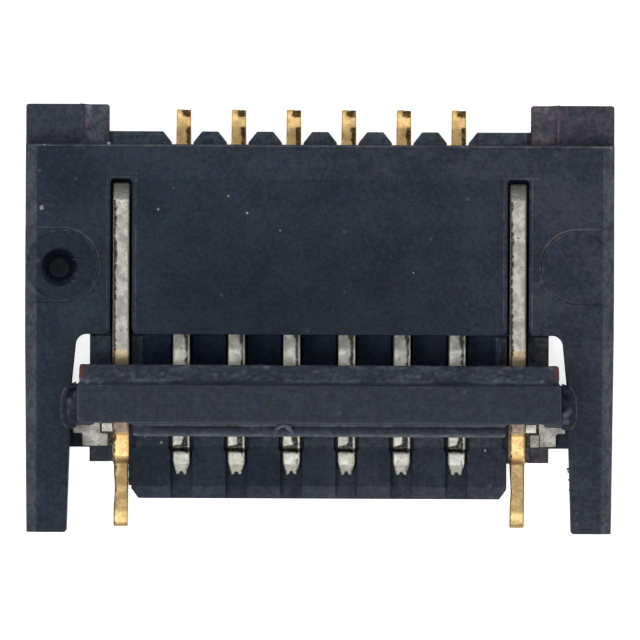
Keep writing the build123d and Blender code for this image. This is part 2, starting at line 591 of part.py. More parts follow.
def hold_down():
    """The right hold down: nose, beam, hook over the cam bar, solder tail and folded wing."""
    tip_y = COVER_FRONT_Y - COVER_SLOT_SETBACK - HOLD_DOWN_TIP_CLEARANCE
    top_z = BEAM_TOP_Z + HOLD_DOWN_BEAM_RISE
    under_z = BEAM_UNDER_Z - HOLD_DOWN_UNDER_DROP
    post_rear_y = COVER_REAR_Y + POST_SETBACK
    post_front_y = post_rear_y + HOLD_DOWN_POST_LENGTH
    dip_y = COVER_REAR_Y - HOLD_DOWN_DIP_START
    hook_inner_y = PIVOT_Y - CAM_REACH - HOOK_CLEARANCE
    hook_end_y = hook_inner_y - HOLD_DOWN_HOOK_LENGTH
    shelf_y = PIVOT_Y - HOLD_DOWN_BEND
    shelf_z = WING_TOP - HOLD_DOWN_SHELF_DROP
    foot_y = COVER_REAR_Y + HOLD_DOWN_FOOT_LENGTH
    tail_y = PIVOT_Y - HOLD_DOWN_TAIL_REACH
    profile = [
        (tip_y, top_z - HOLD_DOWN_NOSE_DROP, BEAM_RADIUS),
        (tip_y - HOLD_DOWN_NOSE, top_z, BEAM_RADIUS),
        (dip_y, top_z, BEAM_RADIUS),
        (dip_y - HOLD_DOWN_DIP_RUN, top_z - HOLD_DOWN_DIP, BEAM_RADIUS),
        (hook_end_y, top_z - HOLD_DOWN_DIP, BEAM_RADIUS),
        (hook_end_y, BEAM_UNDER_Z - HOOK_TIP_DEPTH, BEAM_RADIUS),
        (hook_inner_y, BEAM_UNDER_Z - HOOK_TIP_DEPTH, BEAM_RADIUS),
        (hook_inner_y, BEAM_UNDER_Z, BEAM_RADIUS),
        (post_rear_y, BEAM_UNDER_Z, POST_RADIUS),
        (post_rear_y, LOWER_BEAM_Z, POST_RADIUS),
        (WING_FRONT_Y, LOWER_BEAM_Z, 0),
        (WING_FRONT_Y, WING_TOP, BEAM_RADIUS),
        (PIVOT_Y - WING_NECK_REACH, WING_TOP, BEAM_RADIUS),
        (PIVOT_Y - WING_NECK_REACH - SHEET_CLEARANCE, shelf_z, 0),
        (shelf_y, shelf_z, BEAM_RADIUS),
        (shelf_y - HOLD_DOWN_BEND_RUN, TAIL_THICKNESS, BEAM_RADIUS),
        (tail_y, TAIL_THICKNESS, HOLD_DOWN_TAIL_RADIUS),
        (tail_y, 0, TAIL_RADIUS),
        (shelf_y, 0, BEAM_RADIUS),
        (shelf_y + HOLD_DOWN_BEND_RUN, CHANNEL_BOTTOM, BEAM_RADIUS),
        (foot_y, CHANNEL_BOTTOM, BEAM_RADIUS),
        (foot_y, LOWER_BEAM_Z, BEAM_RADIUS),
        (post_front_y, LOWER_BEAM_Z, POST_RADIUS),
        (post_front_y, under_z, POST_RADIUS),
        (tip_y, under_z, BEAM_RADIUS),
    ]
    blank = side_profile(profile, HOLD_DOWN_STOCK)
    tail_range = (tail_y - OVERRUN, shelf_y - HOLD_DOWN_BEND_RUN)
    wide_tail = block((-HOLD_DOWN_STOCK, HOLD_DOWN_STOCK), tail_range, (0, shelf_z))
    narrow_tail = block(
        (-HOLD_DOWN_TAIL_WIDTH / 2, HOLD_DOWN_TAIL_WIDTH / 2), tail_range, (0, shelf_z)
    )
    blank -= wide_tail - narrow_tail
    wing_inner_x = HOLD_DOWN_X + HOLD_DOWN_STOCK / 2 + WING_NECK_GAP
    wing_outer_x = wing_inner_x + WING_WIDTH
    lobe_x = ARM_INNER_X - LOBE_CLEARANCE
    neck_y = PIVOT_Y - WING_NECK_REACH
    lobe_y = WING_FRONT_Y - LOBE_SETBACK
    wing = rounded_face([
        (HOLD_DOWN_X, WING_FRONT_Y, 0),
        (wing_outer_x, WING_FRONT_Y, 0),
        (wing_outer_x, lobe_y, 0),
        (lobe_x, lobe_y, WING_RADIUS),
        (lobe_x, lobe_y - LOBE_LENGTH, WING_RADIUS),
        (wing_outer_x, lobe_y - LOBE_LENGTH, 0),
        (wing_outer_x, PIVOT_Y - WING_REACH, WING_RADIUS),
        (wing_inner_x, PIVOT_Y - WING_REACH, WING_RADIUS),
        (wing_inner_x, neck_y, WING_RADIUS),
        (HOLD_DOWN_X, neck_y, 0),
    ])
    return Pos(HOLD_DOWN_X, 0, 0) * blank + Pos(0, 0, LEDGE_TOP) * extrude(wing, WING_THICKNESS)


export_step(housing(), "parts/housing.step")
export_step(lever(), "parts/lever.step")
one_contact = contact()
for number, place in enumerate(CONTACT_PLACES, start=1):
    export_step(Pos(place, 0, 0) * one_contact, f"parts/contact_{number}.step")
right_hold_down = hold_down()
export_step(right_hold_down, "parts/hold_down_right.step")
export_step(mirror(right_hold_down, Plane.YZ), "parts/hold_down_left.step")
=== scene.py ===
import itertools
import math

import bmesh
import bpy
import numpy as np
from mathutils import Matrix, Vector, noise


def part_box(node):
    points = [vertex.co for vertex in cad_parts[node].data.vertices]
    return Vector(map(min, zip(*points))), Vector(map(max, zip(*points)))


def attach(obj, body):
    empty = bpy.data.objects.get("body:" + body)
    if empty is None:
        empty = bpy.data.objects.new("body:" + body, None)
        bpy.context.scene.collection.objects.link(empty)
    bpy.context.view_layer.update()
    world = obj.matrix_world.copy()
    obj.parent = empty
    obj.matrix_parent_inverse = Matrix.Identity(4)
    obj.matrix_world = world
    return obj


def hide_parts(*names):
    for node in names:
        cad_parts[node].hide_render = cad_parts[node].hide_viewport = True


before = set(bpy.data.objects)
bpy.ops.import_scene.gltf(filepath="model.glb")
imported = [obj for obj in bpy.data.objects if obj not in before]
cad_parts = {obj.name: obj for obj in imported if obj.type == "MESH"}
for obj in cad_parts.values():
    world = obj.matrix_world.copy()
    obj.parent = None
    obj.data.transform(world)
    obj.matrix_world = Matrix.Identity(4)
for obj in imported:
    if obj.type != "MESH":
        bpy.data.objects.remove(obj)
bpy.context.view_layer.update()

# Sizes in this script are in millimetres, in the CAD's frame, unless a name says otherwise.
MM = 0.001
SCENE = bpy.context.scene
# Vector noise starts from the clock unless it is seeded, and each run has to give the same flash
NOISE_SEED = 1
noise.seed_set(NOISE_SEED)

# Camera, which looks straight down at the cover's top
PIXELS_PER_MM = 110.35
IMAGE_SIDE = 640
CAMERA_CENTRE = (0.005, -0.01)
CAMERA_LENS = 1600
CAMERA_SENSOR = 36
CAMERA_ROLL = -0.25

# Rounding and meshing
SEW_DISTANCE = 0.0001
FLAT_ANGLE = 0.5
HOUSING_BEVEL = 0.007
BEVEL_ANGLE = 32
METAL_VOXEL = 0.0096
LEVER_VOXEL = 0.0165
SMOOTHING = {"factor": 0.5, "iterations": 2}


def box_in_mm(node):
    """Lowest and highest corner of a CAD node at rest."""
    low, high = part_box(node)
    return low / MM, high / MM


def mirrored(x_range, y_range, soft, painted_shading):
    """The same patch on the right and on the left."""
    low, high = x_range
    return [(x_range, y_range, soft, painted_shading), ((-high, -low), y_range, soft, painted_shading)]


# Lights: name, azimuth and elevation in degrees, distance and side in metres, radiance
LIGHTS = [("key", 212, 75, 0.35, 0.13, 9.0), ("top", 10, 80, 0.4, 0.3, 0.6)]
WHITE = (1.0, 1.0, 1.0)
SKY_STRENGTH = 0.55
FLOOR_COLOUR = (0.86, 0.86, 0.86)
FLOOR_GLOW = 0.8
FLOOR_ROUGHNESS = 0.9
FLOOR_RADIUS_M = 0.4
FLOOR_CORNERS = 96
FLOOR_DROP = 0.001

# Colours: dark and light of a plastic, and worn and highlighted where it has that; plain and plated of a
# metal
COLOURS = {
    "housing_plastic": ((0.0078, 0.0145, 0.026), (0.024, 0.035, 0.053)),
    # Its rounded edges: painted highlight with some wear
    "housing_edge_highlight": ((0.022, 0.031, 0.046), (0.075, 0.088, 0.115)),
    # Raised lines, step edges and pocket rims: a pale painted highlight
    "witness_line_highlight": ((0.036, 0.045, 0.062), (0.082, 0.093, 0.115)),
    "crumb": ((0.14, 0.15, 0.16), (0.3, 0.31, 0.32)),
    "curl": ((0.05, 0.064, 0.095), (0.10, 0.13, 0.18)),
    "lever_plastic": ((0.017, 0.023, 0.035), (0.031, 0.038, 0.055), (0.075, 0.08, 0.09)),
    "contact_metal": ((0.53, 0.525, 0.475), (0.78, 0.55, 0.25)),
    "hold_down_metal": ((0.50, 0.485, 0.44), (0.84, 0.60, 0.28)),
}
PALE_DOT = (0.11, 0.125, 0.15)
RUST = (0.075, 0.026, 0.026)
COPPER = (0.36, 0.27, 0.21)
# Dirt on torn bands; the same colours paint the shadow on the heel steps and round the wing tabs
DIRT_AND_SHADOW_ON_PLAIN = (0.042, 0.039, 0.034)
DIRT_AND_SHADOW_ON_GOLD = (0.085, 0.052, 0.024)
SHINE = 0.17

# Noises of the plastics and the metals: waves per millimetre, detail and roughness
CLOUDS = (2.4, 3.0, 0.5)
MOTTLE = (13.0, 3.0, 0.6)
GRAIN = (27.0, 2.0, 0.5)
WORN_MOTTLE = (16.0, 3.0, 0.6)
WORN_GRAIN = (34.0, 2.0, 0.5)
BLOTCHES = (13.0, 2.0, 0.5)
SPECKLE = (38.0, 3.0, 0.62)
# Shares of those noises in a plastic's tone, in its relief, in a metal's dull places and its relief
TONE_SHARES = (0.3, 0.4, 0.3)
PLASTIC_SHARES = (0.6, 0.4)
DULL_SHARES = (0.45, 0.55)
METAL_SHARES = (0.5, 0.5)
# Noise where a plastic is darkest and lightest
TONE_RANGE = (0.385, 0.615)
WORN_TONE_RANGE = (0.38, 0.62)
# Drift of the single colours: detail, and for each plastic waves per millimetre and strength
TINT_DETAIL = 3.0
TINT = (11.0, 0.65)
WORN_TINT = (9.0, 0.7)
# Pale dots: cells per millimetre, share of the cells and radius in cells
DOTS = (9.0, 0.10, 0.2)
DOT_STRENGTH = 0.3
# Low and high noise, and the roughness there
PLASTIC_ROUGHNESS = (0.3, 0.7, 0.62, 0.8)
WORN_ROUGHNESS = (0.3, 0.7, 0.62, 0.76)
METAL_ROUGHNESS = (0.3, 0.7, 0.66, 0.54)
# Depth of the relief
PLASTIC_RELIEF = 0.012
WORN_RELIEF = 0.008
METAL_RELIEF = 0.0055
# Dull places and pits of a metal: noise where they start and are full, strength and shade
DULL_RANGE = (0.56, 0.42)
DULL_STRENGTH = 0.22
DULL_SHADE = 0.42
PIT_RANGE = (0.345, 0.305)
PIT_STRENGTH = 0.65
PIT_SHADE = 0.25
# Low and high noise, and how much torn-band dirt and painted shadow lie there
DIRT_RANGE = (0.52, 0.66, 1.0, 0.7)

# Painted light across the housing: how much brighter and warmer its right side is painted than its left
RIGHT_PAINTED_LIGHT = (1.6, 1.26, 1.18)
RIGHT_PAINTED_LIGHT_REACH = 2.7
# Painted light and shade on the moulding, some darker places being its tone: (x range, y range, soft
# border, shade)
HOUSING_LIGHT_AND_SHADE = [
    ((-1.67, 1.69), (-0.6, 1.28), 0.03, (0.75, 0.82, 0.86)),
    ((-1.9, 1.9), (-1.6, 1.2), 1.1, (0.70, 0.75, 0.77)),
    ((-2.5, -1.95), (0.75, 1.5), 0.25, (0.78, 0.78, 0.8)),
    ((-0.9, 0.3), (-1.75, -1.1), 0.35, (0.75, 0.77, 0.8)),
    ((-2.7, 2.7), (1.585, 2.1), 0.004, (1.88, 1.5, 1.34)),
    ((-1.88, 1.88), (1.585, 2.1), 0.004, (1.97, 2.3, 2.16)),
    *mirrored((1.915, 2.168), (1.575, 2.2), 0.012, (2.5, 2.2, 2.0)),
    *mirrored((1.915, 2.168), (1.575, 1.73), 0.05, (1.7, 1.65, 1.6)),
    ((-2.9, -2.56), (-2.2, 1.58), 0.012, (2.68, 2.01, 1.58)),
    ((2.56, 2.9), (-2.2, 1.58), 0.012, (1.95, 1.75, 1.58)),
    ((-2.16, -2.06), (1.70, 2.2), 0.05, (2.0, 2.0, 2.0)),
    *mirrored((2.1, 2.57), (-1.35, 0.1), 0.3, (0.88, 0.82, 0.82)),
    *mirrored((1.86, 2.08), (-1.4, -1.0), 0.01, (3.0, 2.1, 1.7)),
    *mirrored((1.86, 2.1), (-0.6, -0.16), 0.01, (4.4, 3.9, 3.2)),
    *mirrored((1.60, 1.71), (-0.45, -0.16), 0.01, (4.2, 3.3, 2.6)),
    ((-1.66, 1.66), (-0.6, -0.15), 0.01, (1.6, 1.75, 2.1)),
    ((-1.68, 1.68), (-1.165, -1.05), 0.012, (1.75, 1.55, 1.4)),
    ((-1.72, 1.72), (-1.66, -1.51), 0.02, (1.4, 1.25, 1.15)),
]
# Painted shade in the gate crater and the pad round it: (x, y, radius, soft border, shade)
HOUSING_SHADE_DISCS = [
    (-2.36, 0.486, 0.165, 0.03, (0.3, 0.34, 0.42)),
    (-2.36, 0.486, 0.10, 0.03, (0.45, 0.5, 0.55)),
    (-2.337, 0.478, 0.33, 0.03, (0.72, 0.74, 0.76)),
]

# Painted light and shade on the metal by place along Y: its highlights, and its shade where it lies low or
# under other pieces
CONTACT_PAINTED_SHADING = [
    (-1.44, 1.3), (-1.38, 1.22), (-1.22, 1.16), (-1.20, 0.9), (-1.15, 1.15), (-1.06, 1.05), (-0.36, 0.95),
    (-0.30, 0.85), (-0.26, 0.5), (-0.14, 0.5), (1.57, 0.88), (1.73, 0.95), (1.76, 1.15),
    (1.85, 1.1), (1.88, 0.9),
]
HOLD_DOWN_PAINTED_SHADING = [
    (-1.87, 0.6), (-1.84, 1.05), (-1.77, 1.05), (-1.74, 0.59), (-1.30, 0.59), (-1.26, 1.2), (-1.10, 1.25),
    (-1.03, 1.2), (-0.42, 0.72), (-0.36, 0.72), (-0.33, 1.15), (-0.28, 1.05), (-0.26, 0.82),
    (1.05, 0.82), (1.09, 1.7), (1.25, 1.5),
]
# How the borders between such stretches wander: strength, waves per millimetre and seed
SHADE_WANDER = ((0.010, 19.0, 90.0), (0.006, 47.0, 95.0))

# Where the torn band starts across a contact's sheared edge, by place along it
CONTACT_TORN_START = [
    (-1.42, 0.86), (-1.22, 0.88), (-1.19, 0.55), (-1.06, 0.62), (-0.45, 0.74), (-0.28, 0.78), (-0.15, 0.68),
    (1.70, 0.72), (1.735, 0.72), (1.745, 1.2), (1.83, 1.2), (1.84, 0.5), (1.90, 0.5),
]

# Torn band of a sheared edge: its depth, its roughness and how soft its borders are
TORN_DEPTH = 0.008
TORN_ROUGHNESS = 0.004
SHEARED_ROUGHNESS = 0.0012
TORN_BORDER = 0.02
ROLLOVER_DEPTH = 0.008
ROLLOVER_SHARE = 0.12
# How the band wanders, by strength and waves per millimetre, and the waves of its rough surface
TORN_WANDER = ((0.06, 9.0), (0.10, 27.0))
ROUGH_WAVES = 45.0
ROUGH_SEED = 5.0
# Shares across a sheet that lie past its edge, so that a band from there on isn't seen
PAST_EDGE = 1.3
OFF_SHEET = 2.0

# Contact: the painted shadow on the step of its heel, the bright rim beside it and where the plating starts
HEEL_STEP_SHADOW = (-1.213, -1.203, -1.163, -1.150)
HEEL_STEP_SLOPE = 0.035
HEEL_RIM = (0.86, 0.90)
HEEL_START_Y = -1.06
HEEL_WANDER = 0.007
HEEL_WAVES = 25.0
RIM_SHINE = 0.85
PLATING_START = (1.2, 1.5)
MOUTH_Y = 1.0
CONTACT_TORN_END = 0.88
CONTACT_SEED_STEP = 13.7

# Hold down: sheet thickness and places along it
SHEET_STOCK = 0.15
TAIL_END = (-1.60, -1.85)
WAIST_Y = -1.55
WAIST_LENGTH = 0.14
TAIL_START_Y = -1.3
GOLD_END = (-1.06, -1.03)
GOLD_BAND = (-0.26, -0.30, -0.5, -0.44)
HOOK_END = (-0.93, -0.90)
HOOK_HEIGHT = 0.5
WING_EDGE_Y = -1.13
BEND_Y = 1.08
SADDLE_Y = -0.9
SHEET_REACH = 0.6
TORN_START = 0.83
TAIL_TORN_START = 0.86
HOLD_DOWN_SEED = 31.0
# Its thin gilt band: wander, waves per millimetre with seed, and strength
BAND_WANDER = 0.02
BAND_WAVES = (15.0, 52.0)
BAND_GILT = 0.55
# Its wing: shade behind and before the edge, and how stained it is, by ripple and by waves with seed
WING_SHADES = (0.76, 0.88)
WING_STAIN = 0.1
WING_STAIN_RANGE = (0.0, 0.4)
WING_WAVES = (13.0, 66.0)

# Lever: where its boss, chamfer, front slope and rear rib start, and its grooves and crests along Y
BOSS_START = (2.19, 2.22)
BOSS_CHAMFER = (2.252, 2.272)
FRONT_START = (-0.575, -0.555)
REAR_START = (-0.965, -0.955)
# The crests carry painted highlight; the grooves painted shade and the foot's lift painted light
RIB_GROOVE = (-0.993, 0.017)
RIB_CRESTS = ((-0.966, 0.008), (-1.052, 0.010))
FOOT_GROOVE = (-0.585, 0.012)
FOOT_LIFT = (-0.569, 0.015)
STAIN_X = (2.08, 2.18)
STAIN_Y = (-0.56, -0.53)
BOSS_LUMPS = 0.016
FACE_SWELL = 0.0022
FRONT_STREAKS = 0.009
REAR_STREAKS = 0.006
GROOVE_DEPTH = 0.016
GROOVE_LOWEST = 1.2
# Its ripples: waves per millimetre and seed, and how they are drawn out along X
EDGE_WAVES = (7.0, 3.0)
LUMP_WAVES = (14.0, 21.0)
SWELL_WAVES = (11.0, 8.0)
SHORT_STREAK_WAVES = (24.0, 40.0)
LONG_STREAK_WAVES = (12.0, 44.0)
DASH_WAVES = (9.0, 70.0)
FOOT_GROOVE_WAVES = (5.0, 60.0)
FOOT_LIFT_WAVES = (3.0, 61.0)
SHORT_STREAKS = 0.6
LONG_STREAKS = 0.5
STREAK_STRETCH = (0.4, 1.0, 1.0)
DASH_STRETCH = (0.3, 1.0, 1.0)
# From which ripple, or how sharp an edge, its marks start and are full
EDGE_WEAR = (0.02, 0.3)
EDGE_PATCHES = (-0.1, 0.4)
DASHES = (-0.6, -0.05)
BOSS_SCUFFS = (0.0, 0.5)
FRONT_SCUFFS = (0.05, 0.5)
CREST_SCUFFS = (-0.2, 0.3)
FOOT_GROOVE_PARTS = (-0.1, 0.25)
FOOT_LIFT_PARTS = (0.2, -0.15)
# How strong its wear and its crests' painted highlight are, and how little is left where they are thinnest
EDGE_LEAST = 0.3
CREST_LEAST = 0.4
FRONT_WEAR = 0.45
CREST_HIGHLIGHT = 1.1
SPOT_WEAR = 1.6
FACES_UP = 0.3
# Painted light on it: how much brighter it is, plain, by ripple and on the boss's chamfer
BOSS_SHADE = (1.5, 1.6, 1.2)
FRONT_SHADE = (0.45, 0.6)
REAR_SHADE = (0.3, 0.5)
# Painted light at the foot of the handle's wall, and painted shade in the foot's and the rib's grooves
FOOT_LIFT_SHADE = 1.5
FOOT_GROOVE_SHADE = 0.45
RIB_GROOVE_SHADE = 0.85

# How far a hold down's tail was left long and thinned where it broke off its strip
BREAK_OFF = 0.026
WAIST = 0.012

# Small pale bruises on the lever's edges: (x, y, radius)
LEVER_SPOTS = [
    (-2.10, -0.585, 0.018), (-1.98, -0.595, 0.018), (-0.475, -0.435, 0.02), (0.18, -0.85, 0.012),
    (1.31, -0.66, 0.010), (-1.42, -0.50, 0.012), (0.9, -0.52, 0.014), (2.02, -0.56, 0.014),
]

# How raised lines look: step along them, mean strength, drifts of it by share and waves per
# millimetre, least strength, rise as a share of the width and depth below the surface
LINE_STEP = 0.012
ARC_STEP = 2.5
LINE_STRENGTH = 0.62
LINE_DRIFTS = ((0.75, 5.0), (0.3, 31.0))
LINE_LEAST = 0.04
LINE_RISE = 0.4
LINE_DEPTH = 0.002
LINE_SEED_STEP = 3.1
# Widths of the raised lines
EDGE_LINE_WIDTH = 0.018
PAD_LINE_WIDTH = 0.017
PAD_CORNER_WIDTH = 0.023
PIN_RING_WIDTH = 0.014
SLOT_LINE_WIDTH = 0.017
SLOT_CROSS_WIDTH = 0.014
BLOCK_LINE_WIDTH = 0.026
POCKET_RIM_WIDTH = 0.034
SCRATCH_WIDTH = 0.013

# Witness lines and scratches, placed one by one
COVER_TOP = box_in_mm("housing")[1].z
COVER_FRONT_Y = 1.578
EDGE_LINE_Y = 1.562
EDGE_LINE_SETBACK = 0.02
BLOCK_FRONT_Y = 1.93
BLOCK_STEP_X = 2.165
BLOCK_TOP = 0.62
PAD_CENTRE = (2.337, 0.478)
PAD_RADIUS = 0.343
PIN_RING_RADIUS = 0.317
PAD_DEPTH = 0.02
PAD_SETBACK = 0.11
# Angles in degrees where the pads' arcs and the pins' rings run, on the right and on the left
PAD_CORNER_ANGLES = {1: (90, 180), -1: (90, 0)}
PAD_BACK_ANGLES = {1: (180, 250), -1: (0, -70)}
PIN_RING_ANGLES = {1: (90, 290), -1: (110, -90)}
SLOT_LINES_X = (1.668, 1.928)
SLOT_LINES_Y = (1.279, -0.10)
SLOT_CROSS_X = (1.60, 1.985)
SCRATCHES = [
    ((2.09, 1.454), (2.165, 1.418)),
    ((-2.24, 0.53), (-2.12, 0.52)),
    ((-2.25, 0.34), (-2.17, 0.33)),
]
# Crumbs on the housing: (x, y, z, radius)
CRUMBS = [
    (-2.518, 0.997, 1.0, 0.022), (-1.465, 0.988, 1.0, 0.011), (-0.66, 0.957, 1.0, 0.011),
    (-0.83, 1.11, 1.0, 0.009), (-0.36, 0.80, 1.0, 0.009), (-2.50, 1.565, 1.0, 0.010),
    (2.635, 1.562, 0.985, 0.014), (1.80, 0.74, 1.0, 0.010), (-1.915, 1.583, 0.985, 0.016),
    (0.85, 0.42, 1.0, 0.008), (-1.58, -1.072, 0.30, 0.012), (-1.43, -1.126, 0.26, 0.016),
    (1.51, -1.19, 0.26, 0.014),
]
# A crumb's lumps, their waves in a radius and how flat it lies
CRUMB_LUMPS = 0.45
CRUMB_WAVES = 1.3
CRUMB_FLATNESS = 0.45
# Burrs on the arms' inner edges, shaped like crumbs, in the edges' pale highlight plastic
BURRS = [
    (2.258, -1.352, 0.93, 0.012), (2.261, -1.376, 0.95, 0.010), (2.266, -1.45, 0.94, 0.009),
    (2.273, -1.545, 0.94, 0.010), (-2.288, -1.478, 0.94, 0.012), (-2.290, -1.50, 0.95, 0.009),
]

# Curl of flash on the lever's rib
CURL_CENTRE = (-0.322, -1.045)
CURL_RADIUS = 0.078
CURL_GIRTH = 0.029
CURL_HEIGHT = 1.37
CURL_ANGLES = (-15, 200)
CURL_STEP = 12
CURL_SIDES = 8
CURL_FLATNESS = 0.6
CURL_SWAY = 0.03
CURL_SWAY_WAVES = 11.0
CURL_GIRTH_SHARES = (0.8, 0.5)
CURL_GIRTH_WAVES = 19.0
# Tabs beside each hold down's sheet: (centre, size)
TABS = [
    ((1.926, -0.993, 0.343), (0.104, 0.083, 0.016)), ((1.928, -0.995, 0.335), (0.14, 0.115, 0.020)),
    ((1.960, -1.105, 0.340), (0.09, 0.12, 0.012)), ((1.90, -1.115, 0.335), (0.05, 0.11, 0.020)),
]
# Height below which their mesh is painted dark as the shadowed gap round them
TAB_SHADOW_TOP = 0.3455
# Where the bright front ones, which carry a painted highlight, and the duller rear ones part, and their
# shades
TAB_SPLIT_Y = -1.045
TAB_SHADES = (1.45, 0.72)
TAB_BEVEL = 0.006
# Flash round the boss pocket, right side, from the lever outward and back
POCKET_HOLE = [
    (2.20, -0.635), (2.262, -0.64), (2.284, -0.685), (2.288, -0.80), (2.285, -0.91),
    (2.262, -0.95), (2.20, -0.955),
]
POCKET_OUTLINE = [
    (2.20, -0.576), (2.252, -0.596), (2.256, -0.56), (2.375, -0.56), (2.375, -1.015),
    (2.25, -1.01), (2.20, -0.99),
]
# Painted highlight along the rim of the boss pocket, right side
POCKET_RIM_HIGHLIGHT = [
    (2.268, -0.605), (2.296, -0.635), (2.330, -0.715), (2.335, -0.90), (2.314, -0.955),
    (2.280, -0.995),
]
# Dark strips beside the hold downs, with their height, standing in for the shadow in the gaps there
SHADOW_SLIVERS = [
    ((-1.69, -1.729), (-0.90, -1.52), 0.22), ((1.69, 1.727), (-0.90, -1.31), 0.22),
    ((-1.91, -1.874), (-0.90, -1.30), 0.24), ((1.91, 1.874), (-0.90, -1.30), 0.24),
]
FILM_LIFT = 0.001
FILM_THICKNESS = 0.006
SLIVER_THICKNESS = 0.02
# How ragged the edges of films and strips are, and the waves per millimetre of that
FILM_RAGGED = 0.006
SLIVER_RAGGED = 0.004
RAGGED_WAVES = 22.0
FILM_SEED = 5.0


class Shader:
    """A material under construction, with the node calls that the materials share."""

    def __init__(self, name):
        self.material = bpy.data.materials.new(name)
        self.material.use_nodes = True
        self.tree = self.material.node_tree
        self.surface = self.tree.nodes["Principled BSDF"]
        place = self.tree.nodes.new("ShaderNodeTexCoord")
        in_mm = self.node("ShaderNodeVectorMath", operation="SCALE")
        in_mm.inputs["Scale"].default_value = 1 / MM
        self.link(place.outputs["Object"], in_mm.inputs[0])
        self.place = in_mm.outputs[0]

    def node(self, kind, **settings):
        made = self.tree.nodes.new(kind)
        for name, value in settings.items():
            setattr(made, name, value)
        return made

    def link(self, output, socket):
        self.tree.links.new(output, socket)

    def noise(self, per_mm, detail, roughness):
        """Noise with this many waves in a millimetre."""
        made = self.node("ShaderNodeTexNoise")
        made.inputs["Scale"].default_value = per_mm
        made.inputs["Detail"].default_value = detail
        made.inputs["Roughness"].default_value = roughness
        self.link(self.place, made.inputs["Vector"])
        return made.outputs[0]

    def remap(self, value, low, high, to_low=0.0, to_high=1.0):
        made = self.node("ShaderNodeMapRange", interpolation_type="SMOOTHSTEP")
        self.link(value, made.inputs["Value"])
        for name, number in (
            ("From Min", low), ("From Max", high), ("To Min", to_low), ("To Max", to_high),
        ):
            made.inputs[name].default_value = number
        return made.outputs[0]

    def math(self, operation, *values):
        made = self.node("ShaderNodeMath", operation=operation)
        for socket, value in zip(made.inputs, values):
            if isinstance(value, (int, float)):
                socket.default_value = value
            else:
                self.link(value, socket)
        return made.outputs[0]

    def weighted(self, values, shares):
        """The sum of some values, each times its share."""
        total, *others = [self.math("MULTIPLY", value, share) for value, share in zip(values, shares)]
        for other in others:
            total = self.math("ADD", total, other)
        return total

    def mix(self, share, first, second):
        made = self.node("ShaderNodeMix", data_type="RGBA")
        for socket, value in zip((made.inputs[0], made.inputs[6], made.inputs[7]), (share, first, second)):
            if isinstance(value, tuple):
                socket.default_value = (*value, 1.0)
            elif isinstance(value, (int, float)):
                socket.default_value = value
            else:
                self.link(value, socket)
        return made.outputs[2]

    def along(self, axis, value=None):
        split = self.node("ShaderNodeSeparateXYZ")
        self.link(self.place if value is None else value, split.inputs[0])
        return split.outputs[axis]

    def specks(self, per_mm, share, radius):
        """Small round dots in a share of the cells of a random grid."""
        cells = self.node("ShaderNodeTexVoronoi")
        cells.inputs["Scale"].default_value = per_mm
        self.link(self.place, cells.inputs["Vector"])
        chosen = self.math("LESS_THAN", self.along(0, cells.outputs["Color"]), share)
        near = self.remap(cells.outputs["Distance"], radius, radius / 2)
        return self.math("MULTIPLY", chosen, near)

    def inside(self, place, centre, half, soft):
        """1 within a half width of a centre, fading to 0 over a soft border."""
        offset = self.math("ABSOLUTE", self.math("SUBTRACT", place, centre))
        return self.remap(offset, half, half - soft)

    def patch(self, x_range, y_range, soft):
        """1 inside a rectangle seen from above, fading to 0 over a soft border."""
        shares = [
            self.inside(self.along(axis), (low + high) / 2, (high - low) / 2, soft)
            for axis, (low, high) in enumerate((x_range, y_range))
        ]
        return self.math("MULTIPLY", *shares)

    def disc(self, x, y, radius, soft):
        """1 inside a circle seen from above, fading to 0 over a soft border."""
        flat = self.node("ShaderNodeVectorMath", operation="MULTIPLY_ADD")
        flat.inputs[1].default_value = (1, 1, 0)
        flat.inputs[2].default_value = (-x, -y, 0)
        self.link(self.place, flat.inputs[0])
        away = self.node("ShaderNodeVectorMath", operation="LENGTH")
        self.link(flat.outputs[0], away.inputs[0])
        return self.remap(away.outputs["Value"], radius, radius - soft)

    def shaded(self, colour, share, painted_shading):
        """The colour times painted shading, as far as the share says."""
        made = self.node("ShaderNodeVectorMath", operation="MULTIPLY")
        self.link(colour, made.inputs[0])
        self.link(self.mix(share, WHITE, painted_shading), made.inputs[1])
        return made.outputs[0]

    def scaled(self, colour, factor):
        made = self.node("ShaderNodeVectorMath", operation="SCALE")
        self.link(colour, made.inputs[0])
        if isinstance(factor, (int, float)):
            made.inputs["Scale"].default_value = factor
        else:
            self.link(factor, made.inputs["Scale"])
        return made.outputs[0]

    def tinted(self, colour, per_mm, strength):
        """The colour with each of its channels drifting a little by itself."""
        drift = self.node("ShaderNodeTexNoise")
        drift.inputs["Scale"].default_value = per_mm
        drift.inputs["Detail"].default_value = TINT_DETAIL
        self.link(self.place, drift.inputs["Vector"])
        channels = self.node("ShaderNodeVectorMath", operation="MULTIPLY_ADD")
        channels.inputs[1].default_value = (strength,) * 3
        channels.inputs[2].default_value = (1 - strength / 2,) * 3
        self.link(drift.outputs["Color"], channels.inputs[0])
        made = self.node("ShaderNodeVectorMath", operation="MULTIPLY")
        self.link(colour, made.inputs[0])
        self.link(channels.outputs[0], made.inputs[1])
        return made.outputs[0]

    def attribute(self, name):
        made = self.node("ShaderNodeAttribute", attribute_name=name)
        return made.outputs["Fac"]

    def bump(self, height, depth_mm):
        made = self.node("ShaderNodeBump")
        made.inputs["Distance"].default_value = depth_mm * MM
        self.link(height, made.inputs["Height"])
        return made.outputs[0]

    def set(self, **values):
        """Sets or links the surface's inputs, with spaces in their names given as underscores."""
        for name, value in values.items():
            socket = self.surface.inputs[name.replace("_", " ")]
            if isinstance(value, tuple):
                socket.default_value = (*value, 1.0)
            elif isinstance(value, (int, float)):
                socket.default_value = value
            else:
                self.link(value, socket)


